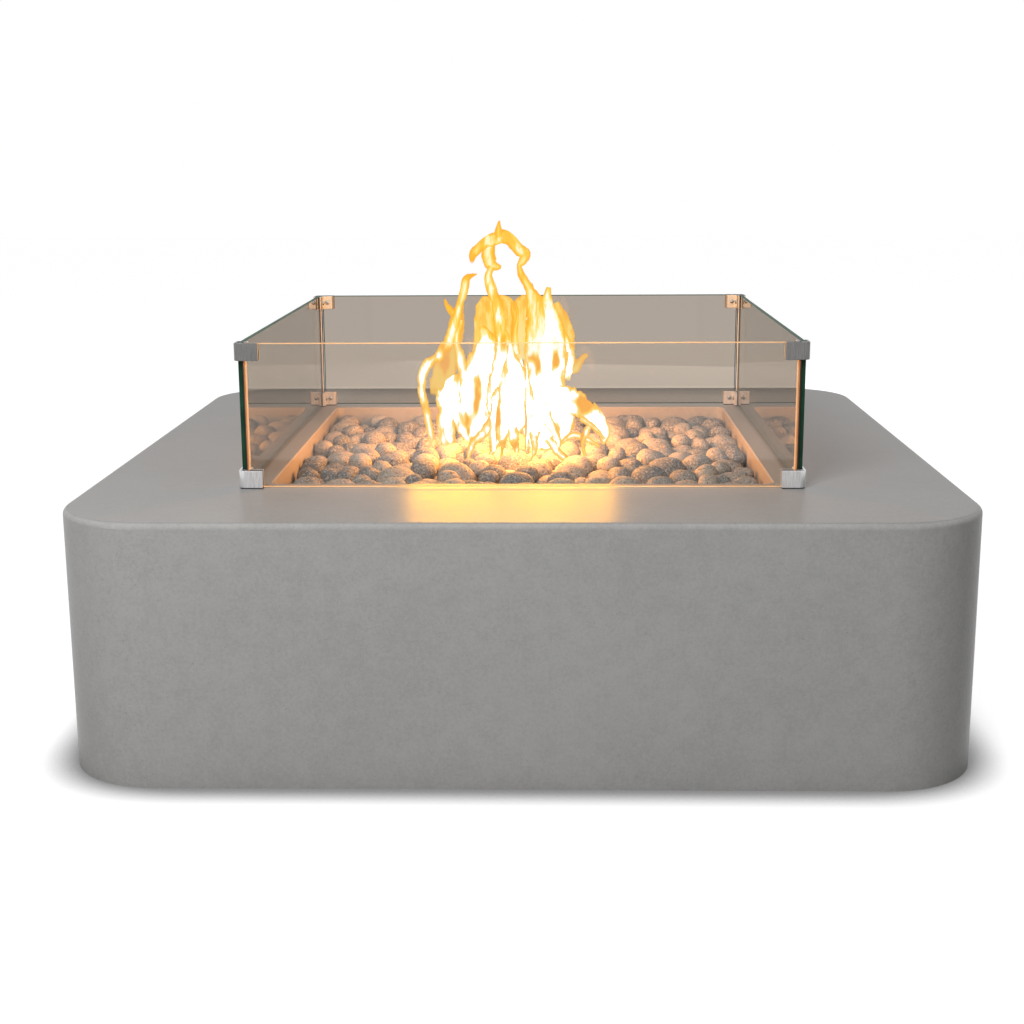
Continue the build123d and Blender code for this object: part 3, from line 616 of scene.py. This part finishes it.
def makePane(side, tinted):
    low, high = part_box("glass_" + side)
    mesh = bpy.data.meshes.new("pane_" + side)
    shape = bmesh.new()
    bmesh.ops.create_cube(shape, size=1.0)
    size = high - low
    for vertex in shape.verts:
        vertex.co = Vector([low[k] + (vertex.co[k] + 0.5) * size[k] for k in range(3)])
    bmesh.ops.bevel(shape, geom=shape.edges[:], offset=glass["arris"], segments=1, affect="EDGES")
    through = 0 if size.x < size.y else 1  # the axis across the glass
    lengthwise = 1 - through
    if side == "front":
        for end, inward in ((low, 1), (high, -1)):  # a cut near each upright edge
            way = Vector((0, 0, 0))
            way[lengthwise] = 1
            spot = Vector(end) + way * inward * glass["polishedBand"]
            everything = shape.verts[:] + shape.edges[:] + shape.faces[:]
            bmesh.ops.bisect_plane(shape, geom=everything, plane_co=spot, plane_no=way)
    inner = size[lengthwise] / 2 - glass["polishedBand"]
    for face in shape.faces:
        flat = abs(face.normal[through]) > 0.9
        if side == "front":
            ground = not flat or abs(face.calc_center_median()[lengthwise]) > inner
        else:
            ground = through == 0 and not flat and face.normal.y > 0.5  # back ends of the side panes
        face.material_index = 2 if ground else 0 if flat else 1
    shape.to_mesh(mesh)
    shape.free()
    pane = newPiece("pane_" + side, mesh, [tinted, glassEdge, groundEdge], "wind_guard")
    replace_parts(pane, "glass_" + side)


for side, tinted in (("front", clearGlass), ("back", backGlass), ("left", sideGlass), ("right", sideGlass)):
    makePane(side, tinted)
print("panes made")


# Dark seals in the upright corners between the panes, with a bead beside them at the back coloured golden:
# painted firelight

seal = {
    "size": 0.0026,
    "backSize": 0.0018,
    "edge": 0.0004,
    "clearance": 0.0002,
    "rubber": (0.02, 0.02, 0.02),
    # golden colour of the bead: painted firelight
    "bead": (0.95, 0.80, 0.48),
}


def makeSeals():
    shape = bmesh.new()
    low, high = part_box("glass_back")
    inner = low.y  # the panes' inner faces
    gap = (inner + high.x) / 2  # midway between a pane's end and the next pane
    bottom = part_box("bottom_clamp_front_left")[1].z
    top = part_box("top_clamp_front_left")[0].z
    end = high.x + seal["clearance"]  # the dark strip lies at the back pane's end, the golden bead beside it
    beadStart = end + seal["backSize"]
    beadEnd = inner - seal["clearance"]
    strips = [  # place across, depth, width and finish
        (gap, -gap, seal["size"], 0),
        (end + seal["backSize"] / 2, gap, seal["backSize"], 0),
        ((beadStart + beadEnd) / 2, gap, beadEnd - beadStart, 1),
    ]
    for side in (-1, 1):
        for x, y, width, material in strips:
            strip = bmesh.ops.create_cube(shape, size=1.0)["verts"]
            for vertex in strip:
                along = bottom + (vertex.co.z + 0.5) * (top - bottom)
                vertex.co = Vector((side * x + vertex.co.x * width, y + vertex.co.y * seal["size"], along))
                for face in vertex.link_faces:
                    face.material_index = material
    upright = [edge for edge in shape.edges if abs(edge.verts[0].co.z - edge.verts[1].co.z) > 0.01]
    bmesh.ops.bevel(shape, geom=upright, offset=seal["edge"], segments=2, affect="EDGES", material=-1)
    mesh = bpy.data.meshes.new("corner_seals")
    shape.to_mesh(mesh)
    shape.free()
    finishes = [softFinish("sealRubber", seal["rubber"], 0.5), softFinish("firelitBead", seal["bead"], 0.4)]
    newPiece("corner_seals", mesh, finishes, "wind_guard")


makeSeals()
print("corner seals made")


# Lava stones, one round pebble for each solid

stone = {
    "ballSteps": 4,
    "coarseSteps": 3,
    "buried": 0.312,  # stones whose middle is lower than this are coarse
    "rounding": 12,
    "keep": 0.4,  # share of its reach that a point keeps in each rounding
    "swell": 1.14,  # out to the corners of the flat-sided solid
    "waves": 3,
    "waveTurn": 2.2,
    "waveShift": 6.3,
    "lump": 0.014,
    "dents": 5,
    "dentDepth": 0.018,
    "dentRange": (0.3, 1.0),
    "dentSpread": (0.12, 0.3),
    "seed": 7,
}
stoneLook = {
    "cool": (0.185, 0.205, 0.225),
    "warm": (0.400, 0.382, 0.355),
    "pale": (0.64, 0.63, 0.60),
    "pit": (0.060, 0.058, 0.056),
    "cloud": 0.018,
    "stipple": 0.0030,
    "grain": 0.0014,
    "toneRange": (0.25, 1.25),
    "paleRange": (0.51, 0.64),
    "paleShare": 0.6,
    "pitRange": (0.44, 0.36),
    "pitShare": 0.75,
    "relief": 0.0006,
    "specular": 0.25,
}


def unitBall(steps):
    shape = bmesh.new()
    bmesh.ops.create_icosphere(shape, subdivisions=steps, radius=1.0)
    shape.verts.ensure_lookup_table()
    ways = np.array([vertex.co for vertex in shape.verts])
    ways /= np.linalg.norm(ways, axis=1)[:, None]
    faces = np.array([[vertex.index for vertex in face.verts] for face in shape.faces])
    links = np.array([[edge.verts[0].index, edge.verts[1].index] for edge in shape.edges])
    shape.free()
    return ways, faces, links


def reachOf(points, triangles, middle, ways):  # distance from the middle to the solid's skin
    a, b, c = (points[triangles[:, side]] - middle for side in range(3))
    normals = np.cross(b - a, c - a)
    normals /= np.linalg.norm(normals, axis=1)[:, None]
    depth = (normals * a).sum(axis=1)
    normals = normals * np.sign(depth)[:, None]
    facing = ways @ normals.T
    tiny = 1e-6
    return np.where(facing > tiny, np.abs(depth) / np.maximum(facing, tiny), np.inf).min(axis=1)


def roundOff(reach, links):
    near = np.bincount(links.ravel(), minlength=len(reach))
    for step in range(stone["rounding"]):
        total = np.zeros_like(reach)
        np.add.at(total, links[:, 0], reach[links[:, 1]])
        np.add.at(total, links[:, 1], reach[links[:, 0]])
        reach = stone["keep"] * reach + (1 - stone["keep"]) * total / near
    return reach


def anyWay(chance):
    way = chance.normal(size=3)
    return way / np.linalg.norm(way)


def makeStones():
    chance = np.random.default_rng(stone["seed"])
    fine = unitBall(stone["ballSteps"])
    coarse = unitBall(stone["coarseSteps"])
    allPoints = []
    allFaces = []
    tones = []
    count = 0
    for points, triangles in looseSolids("lava_stones"):
        middle = points.mean(axis=0)
        ways, faces, links = coarse if middle[2] < stone["buried"] else fine
        reach = roundOff(reachOf(points, triangles, middle, ways), links) * stone["swell"]
        for wave in range(stone["waves"]):  # broad uneven lumps
            way = anyWay(chance)
            turn = (stone["waveTurn"] + wave) * ways @ way + chance.uniform(0, stone["waveShift"])
            reach *= 1 + stone["lump"] * np.sin(turn) / (1 + wave)
        for dent in range(stone["dents"]):  # shallow hollows
            way = anyWay(chance)
            spread = chance.uniform(*stone["dentSpread"])
            apart = np.arccos(np.clip(ways @ way, -1, 1)) / spread
            reach *= 1 - stone["dentDepth"] * chance.uniform(*stone["dentRange"]) * np.exp(-apart * apart)
        allFaces += (faces + count).tolist()
        allPoints.append(middle + ways * reach[:, None])
        count += len(ways)
        tones.append(np.full(len(ways), chance.uniform()))
    mesh = meshOf("lava_pebbles", np.concatenate(allPoints), allFaces)
    tone = mesh.attributes.new("tone", "FLOAT", "POINT")
    tone.data.foreach_set("value", np.concatenate(tones))
    pebbles = newPiece("lava_pebbles", mesh, [stoneFinish(stoneLook)], "fire_table")
    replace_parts(pebbles, "lava_stones")
    print("stones made:", len(allPoints))


def stoneFinish(look):
    made = Finish("porousLava")
    tone = made.told("tone")
    cloud = made.noise(look["cloud"], 3, 0.6)
    stipple = made.noise(look["stipple"], 2, 0.55)
    grain = made.noise(look["grain"], 2, 0.6)
    rough = stipple * 0.75 + grain * 0.25
    pits = made.between(rough, *look["pitRange"])
    color = made.mix(made.between(tone + cloud * 0.5, *look["toneRange"]), look["cool"], look["warm"])
    color = made.mix(made.between(rough, *look["paleRange"]) * look["paleShare"], color, look["pale"])
    color = made.mix(pits * look["pitShare"], color, look["pit"])
    normal = made.bump(rough - pits * 0.25, look["relief"])
    matt = 0.85 - grain * 0.2
    return made.done(made.principled(color=color, rough=matt, normal=normal, specular=look["specular"]))


makeStones()


# Lava gravel under the stones

gravel = {
    "color": (0.075, 0.068, 0.062),
    "pale": (0.17, 0.155, 0.14),
    "grain": 0.003,
    "chip": 0.009,
    "chipShare": 0.4,
    "toneRange": (0.5, 0.95),
    "relief": 0.0012,
    "rough": 0.9,
    "specular": 0.2,
}


def gravelFinish(look):
    made = Finish("lavaGravel")
    grain = made.noise(look["grain"], 3, 0.65)
    tone = grain + made.cells(look["chip"], "Color") * look["chipShare"]
    color = made.mix(made.between(tone, *look["toneRange"]), look["color"], look["pale"])
    normal = made.bump(grain - made.cells(look["chip"]), look["relief"])
    shader = made.principled(color=color, rough=look["rough"], normal=normal, specular=look["specular"])
    return made.done(shader)


dress(["lava_gravel"], gravelFinish(gravel))
print("gravel dressed")


# Stage: floor, sky and lamps

stage = {
    "floorSize": 30.0,
    "floorColor": (0.30, 0.30, 0.30),
    "floorDark": (0.28, 0.28, 0.28),
    "floorGrain": 0.4,
    "grainShare": 0.05,
    "floorGlow": 0.92,
    "contact": 0.085,
    "contactRange": (0.5, 1.0),
    "contactShadowTone": 0.22,
    "wallRange": (0.06, 0.047),  # how far inside the wall's outer face the floor starts to glow
    "sky": 0.25,
    "aim": (0, 0, 0.2),
    "lampColor": (1.0, 1.0, 1.0),
    "lamps": {  # place, size and power
        "keyLamp": ((-0.85, -2.3, 2.15), 1.2, 57.0),
        "fillLamp": ((3.4, -2.6, 2.2), 3.0, 13.0),
        "backLamp": ((0.6, 3.6, 0.8), 2.4, 30.0),
    },
}


def seenRays(finish):  # rays that show the background: from the camera, mirrored, or through glass
    kinds = ("Is Camera Ray", "Is Glossy Ray", "Is Transmission Ray")
    camera, mirrored, passed = (finish.node("ShaderNodeLightPath", out=kind) for kind in kinds)
    return (camera + mirrored + passed).least(1.0)


def makeFloor():
    made = Finish("paleFloor")
    grain = made.noise(stage["floorGrain"], 2)
    # the floor is darkened near the body through ambient occlusion: a painted contact shadow, in its colour
    # and its glow
    near = made.node("ShaderNodeAmbientOcclusion", None, {"Distance": stage["contact"]}, "AO")
    tone = stage["contactShadowTone"]
    shade = made.between(near, *stage["contactRange"]) * (1 - tone) + tone
    reach = abs(made.part("X")).most(abs(made.part("Y")))
    wall = cadBox[1].x  # the floor inside the hollow body doesn't show the background
    first, last = stage["wallRange"]
    outside = made.between(reach, wall - first, wall - last)
    color = made.mix(grain * stage["grainShare"], stage["floorColor"], stage["floorDark"])
    lit = made.principled(color=made.mix(1.0, color, shade, "MULTIPLY"), rough=1.0, specular=0.0)
    shown = seenRays(made) * shade * outside * stage["floorGlow"]
    glow = made.node("ShaderNodeEmission", None, {"Color": shown})
    half = stage["floorSize"] / 2
    corners = [(-half, -half, 0), (half, -half, 0), (half, half, 0), (-half, half, 0)]
    mesh = meshOf("floor", corners, [(0, 1, 2, 3)])
    mesh.materials.append(made.done(made.node("ShaderNodeAddShader", None, {0: lit, 1: glow})))
    floor = bpy.data.objects.new("floor", mesh)
    scene.collection.objects.link(floor)


class Sky(Finish):  # the world has the same kind of nodes
    def __init__(self):
        world = bpy.data.worlds.new("sky")
        world.use_nodes = True
        scene.world = world
        self.tree = world.node_tree
        self.tree.nodes.clear()


def makeSky():
    made = Sky()
    white = (1.0, 1.0, 1.0, 1.0)
    light = made.node("ShaderNodeBackground", None, {"Color": white, "Strength": stage["sky"]})
    shown = made.node("ShaderNodeBackground", None, {"Color": white, "Strength": 1.0})
    made.node("ShaderNodeOutputWorld", None, {"Surface": made.shared(seenRays(made), light, shown)})


def addLamp(name, kind, place, power, color, hidden):
    lamp = bpy.data.lights.new(name, kind)
    lamp.energy = power
    lamp.color = color
    made = bpy.data.objects.new(name, lamp)
    scene.collection.objects.link(made)
    made.location = place
    for rays in hidden:  # kinds of rays that pass the lamp by
        setattr(made, "visible_" + rays, False)
    return made


def makeLamps():
    for name, (place, size, power) in stage["lamps"].items():
        made = addLamp(name, "AREA", place, power, stage["lampColor"], ("camera", "glossy"))
        made.data.shape = "SQUARE"
        made.data.size = size
        made.rotation_euler = (Vector(stage["aim"]) - Vector(place)).to_track_quat("-Z", "Y").to_euler()


makeFloor()
makeSky()
makeLamps()
print("stage set")


# Stage: the gas flame, which isn't a piece of the table

flame = {
    "steps": 46,
    "across": 12,
    "bulge": 0.3,
    "ahead": 0.02,  # share of its length over which a tongue's direction is taken
    "forward": -0.045,  # the front set stands before the turned sets
    "turnedSets": [(62.0, 0.86), (-58.0, 0.8), (90.0, 0.74)],  # turn in degrees, size
    "root": 0.345,
    "rootFade": 0.05,
    "flow": (1.0, 1.0, 0.45),  # patterns are drawn out upwards
    "ragged": 0.009,
    "raggedSize": 0.020,
    "raggedDepth": 3.4,
    "raggedShare": 0.6,
    "border": 0.009,
    "borderSize": 0.015,
    "streakFlow": (1.0, 1.0, 0.22),
    "streak": 0.011,
    "streakRange": (0.40, 0.60),
    "streakCool": 0.55,
    "patchFlow": (1.0, 1.0, 0.32),
    "patch": 0.024,
    "patchRange": (0.54, 0.68),
    "patchCool": 1.1,
    "tallRange": (0.46, 0.585),  # heights over which the fire cools
    "tallCool": 0.3,
    "colors": [
        (0.0, (0.64, 0.28, 0.024)), (0.10, (0.66, 0.36, 0.040)), (0.26, (0.66, 0.44, 0.08)),
        (0.44, (0.66, 0.52, 0.20)), (0.62, (0.70, 0.64, 0.44)), (0.80, (1.0, 0.97, 0.92)),
    ],
    "white": (2.4, 2.3, 2.1),  # the hottest parts stay white through the darkened panes
    "whiteRange": (0.85, 1.0),
    "mirrored": (3.8, 1.8, 0.26),  # how bright the hot core is in reflections
    "mirrorRange": (0.15, 0.6),
    "strength": 1.6,
    "edge": 0.0014,
    "faint": 0.82,  # cover of the cooler strands
    "faintRange": (0.4, 0.6),
    "lampColor": (1.0, 0.36, 0.06),
    "lamps": [  # place, radius and power
        ((-0.02, -0.02, 0.43), 0.10, 9.0),
        ((-0.02, 0.0, 0.53), 0.07, 4.0),
        ((0.02, -0.16, 0.40), 0.05, 1.6),
    ],
    "sheenPlace": (-0.023, -0.06, 0.44),  # the fire's broad sheen on the concrete before it
    "sheenSize": (0.326, 0.16),
    "sheenTilt": 65.0,
    "sheenSpread": 60.0,
    "sheenPower": 0.33,
    "sheenColor": (1.0, 0.46, 0.01),
}
body = [  # wide hot tongues: points x, depth, height and half width, in millimetres
    [(-92, 0, 362, 6), (-90, 0, 384, 24), (-85, 0, 410, 36), (-75, 0, 453, 33), (-65, 0, 494, 26),
     (-59, 0, 521, 16), (-68, 0, 546, 4)],
    [(-20, -8, 370, 8), (-22, -8, 390, 26), (-23, -8, 420, 39), (-29, -6, 466, 33), (-33, -4, 502, 18),
     (-37, -2, 534, 11), (-42, 0, 569, 10), (-47, 0, 598, 8), (-54, 0, 624, 4)],
    [(16, 0, 348, 10), (28, 0, 374, 34), (39, 0, 413, 46), (33, 0, 461, 33), (39, 0, 510, 31),
     (42, 0, 547, 18), (34, 0, 579, 11), (37, 0, 607, 4)],
    [(49, 6, 466, 23), (64, 6, 502, 18), (65, 6, 518, 13), (49, 4, 544, 8), (39, 2, 562, 2)],
    [(31, -4, 434, 23), (59, -4, 434, 24), (88, -4, 418, 21), (111, -2, 398, 16), (126, 0, 375, 10),
     (124, 0, 357, 3)],
    [(-123, 0, 355, 11), (-127, 0, 400, 16), (-124, 0, 436, 17), (-108, 2, 456, 14), (-92, 4, 466, 9)],
]
strands = [  # heat, then points as above
    (1.0, [(-148, 4, 356, 5), (-158, 4, 408, 7), (-165, 4, 453, 8), (-153, 4, 486, 10), (-129, 2, 508, 10),
           (-114, 0, 541, 8), (-104, 0, 573, 7), (-95, 0, 602, 7), (-91, 0, 621, 6), (-75, 0, 628, 2)]),
    (1.0, [(-98, -6, 421, 10), (-96, -4, 461, 8), (-103, -2, 499, 8), (-108, 0, 526, 6), (-101, 2, 556, 5)]),
    (0.24, [(-140, 10, 432, 12), (-131, 10, 474, 20), (-114, 10, 512, 16), (-109, 10, 546, 13),
            (-103, 10, 578, 7), (-99, 10, 598, 2)]),
    (0.5, [(-62, 14, 490, 24), (-61, 14, 530, 20), (-60, 14, 560, 21), (-62, 14, 580, 17),
           (-66, 14, 592, 3)]),
    (0.5, [(-34, 18, 488, 26), (-34, 18, 530, 27), (-36, 18, 565, 25), (-38, 18, 584, 18),
           (-40, 18, 593, 3)]),
    (0.5, [(2, 14, 490, 27), (2, 14, 530, 30), (0, 14, 565, 27), (-2, 14, 584, 20), (-4, 14, 594, 3)]),
    (0.9, [(-14, 8, 500, 9), (-16, 8, 532, 7), (-12, 8, 560, 5), (-15, 8, 584, 2)]),
    (0.9, [(4, 10, 500, 8), (2, 10, 530, 6), (5, 10, 556, 2)]),
    (0.8, [(16, -4, 496, 15), (18, -2, 542, 18), (18, 0, 576, 16), (8, 0, 602, 10), (-5, 0, 624, 7),
           (-10, 0, 644, 3)]),
    (0.45, [(49, 8, 584, 5), (60, 8, 557, 10), (70, 8, 531, 10), (77, 8, 508, 4)]),
    (0.35, [(62, 8, 488, 4), (78, 8, 476, 7), (88, 8, 492, 8), (99, 8, 500, 3)]),
    (0.8, [(-83, 0, 643, 2), (-80, 0, 659, 7), (-67, 0, 672, 8), (-52, 0, 680, 10), (-36, 0, 686, 11),
           (-23, 0, 680, 10), (-11, 0, 666, 10), (2, 0, 659, 8), (-3, 0, 648, 7), (-11, 0, 640, 3)]),
    (0.8, [(-55, 2, 675, 9), (-57, 2, 656, 11), (-52, 2, 642, 11), (-37, 2, 638, 3)]),
    (0.9, [(-51, -2, 640, 6), (-57, -2, 625, 6), (-54, -2, 609, 8), (-46, -2, 588, 9)]),
    (0.7, [(-39, -2, 684, 8), (-41, -2, 696, 6), (-39, -2, 710, 2)]),
    (0.8, [(-126, 2, 589, 2), (-121, 2, 577, 5), (-108, 2, 561, 7)]),
    (1.0, [(-90, -50, 342, 3), (-82, -38, 366, 7), (-59, -20, 385, 11), (-42, -12, 401, 13)]),
    (1.0, [(-62, -56, 336, 3), (-52, -42, 353, 5), (-39, -25, 375, 7), (-33, -15, 396, 8)]),
    (1.0, [(-38, -56, 336, 3), (-36, -40, 356, 4), (-33, -20, 382, 7)]),
    (1.0, [(-8, -50, 340, 3), (-15, -36, 362, 7), (-20, -20, 388, 10)]),
    (1.0, [(7, -56, 336, 3), (15, -40, 356, 5), (15, -20, 382, 10)]),
    (1.0, [(36, -20, 372, 10), (49, -32, 353, 8), (65, -42, 342, 6), (83, -46, 337, 3)]),
    (1.0, [(96, -40, 344, 3), (91, -26, 366, 5), (101, -12, 388, 7)]),
    (1.0, [(127, -10, 367, 3), (114, -8, 382, 5), (88, -6, 401, 8)]),
    (1.0, [(55, -26, 360, 3), (75, -20, 375, 5), (98, -20, 369, 5), (118, -20, 357, 3)]),
]


def flameFinish(look):
    made = Finish("gasFlame")
    half = made.told("half")
    warmth = made.told("warmth")
    flow = made.stretched(look["flow"])
    ragged = (made.noise(look["raggedSize"], 3, 0.55, flow) - 0.5) * look["raggedDepth"]
    reach = (half * look["raggedShare"]).least(look["ragged"])
    inside = (1 - abs(made.told("across"))) * half + ragged * reach
    tall = made.between(made.part("Z"), *look["tallRange"])
    streaks = made.noise(look["streak"], 3, 0.6, made.stretched(look["streakFlow"]))
    streaks = made.between(streaks, *look["streakRange"])
    patches = made.noise(look["patch"], 2, 0.5, made.stretched(look["patchFlow"]))
    patches = made.between(patches, *look["patchRange"])
    cool = 1 - tall * (streaks * look["streakCool"] + look["tallCool"])
    cool = cool - patches * (1 - tall) * look["patchCool"]
    border = made.noise(look["borderSize"], 2, 0.5, flow) * look["border"] * 2
    heat = made.between(inside, 0.0, border) * warmth * cool
    color = made.ramp(heat, look["colors"])
    color = made.mix(made.between(heat, *look["whiteRange"]), color, look["white"])
    mirrored = made.node("ShaderNodeLightPath", out="Is Glossy Ray")
    mirrored = mirrored * made.between(heat, *look["mirrorRange"])
    color = made.mix(mirrored * (1 - tall), color, look["mirrored"])
    glow = made.node("ShaderNodeEmission", None, {"Color": color, "Strength": look["strength"]})
    faint = look["faint"]
    cover = made.between(inside, 0.0, look["edge"])
    cover = cover * (faint + made.between(warmth, *look["faintRange"]) * (1 - faint))
    cover = cover * made.between(made.told("along"), 0.0, look["rootFade"])
    return made.done(made.shared(cover, made.clear(), glow))


def curveThrough(points, share):  # a smooth line through the points
    spot = share * (len(points) - 1)
    first = min(int(spot), len(points) - 2)
    t = spot - first
    a, b, c, d = (points[max(0, min(len(points) - 1, first + step))] for step in (-1, 0, 1, 2))
    square = 2 * a - 5 * b + 4 * c - d
    cube = 3 * b - a - 3 * c + d
    return 0.5 * (2 * b + (c - a) * t + square * t * t + cube * t ** 3)


def tongueMesh(points, turned, heat, told):
    places = []
    spin = Matrix.Rotation(math.radians(turned), 3, "Z")
    for step in range(flame["steps"] + 1):
        share = step / flame["steps"]
        here = curveThrough(points, share)
        before = curveThrough(points, max(0.0, share - flame["ahead"]))
        ahead = curveThrough(points, min(1.0, share + flame["ahead"])) - before
        level = Vector((ahead[2], 0, -ahead[0])).normalized()  # square to the line, seen from the front
        for side in range(flame["across"] + 1):
            u = 2 * side / flame["across"] - 1
            spot = Vector(here[:3]) + level * (u * here[3])
            spot.y -= flame["bulge"] * (1 - u * u) * here[3]
            places.append(spin @ spot)
            for name, value in (("across", u), ("along", share), ("half", here[3]), ("warmth", heat)):
                told[name].append(value)
    row = flame["across"] + 1
    return places, [(k, k + 1, k + row + 1, k + row) for k in range(len(places) - row) if (k + 1) % row]


def makeFlame():
    places = []
    faces = []
    told = {"across": [], "along": [], "half": [], "warmth": []}
    frontSet = strands + [(1.0, points) for points in body]
    drawn = [(0.0, 1.0, flame["forward"], heat, points) for heat, points in frontSet]
    drawn += [(turned, size, 0.0, 1.0, points) for turned, size in flame["turnedSets"] for points in body]
    for turned, size, forward, heat, tongue in drawn:
        points = np.array(tongue) * 0.001 * size  # from millimetres
        points[:, 1] += forward
        points[:, 2] += flame["root"] * (1 - size)
        own, ownFaces = tongueMesh(points, turned, heat, told)
        faces += [[corner + len(places) for corner in face] for face in ownFaces]
        places += own
    mesh = meshOf("gas_flame", places, faces)
    for name, values in told.items():
        mesh.attributes.new(name, "FLOAT", "POINT").data.foreach_set("value", values)
    mesh.materials.append(flameFinish(flame))
    made = bpy.data.objects.new("gas_flame", mesh)
    scene.collection.objects.link(made)
    made.visible_diffuse = False
    made.visible_shadow = False
    print("flame made:", len(drawn), "tongues")


def makeFlameLamps():
    for index, (place, radius, power) in enumerate(flame["lamps"]):
        name = "flameLamp%d" % index
        made = addLamp(name, "POINT", place, power, flame["lampColor"], ("camera", "glossy"))
        made.data.shadow_soft_size = radius
    hidden = ("camera", "diffuse", "transmission")  # the sheen shows in gloss only
    place, power = flame["sheenPlace"], flame["sheenPower"]
    made = addLamp("flameSheen", "AREA", place, power, flame["sheenColor"], hidden)
    made.data.shape = "RECTANGLE"
    made.data.size, made.data.size_y = flame["sheenSize"]
    made.data.spread = math.radians(flame["sheenSpread"])
    made.rotation_euler = (math.radians(-flame["sheenTilt"]), 0, 0)
    print("flame lamps set")


makeFlame()
makeFlameLamps()
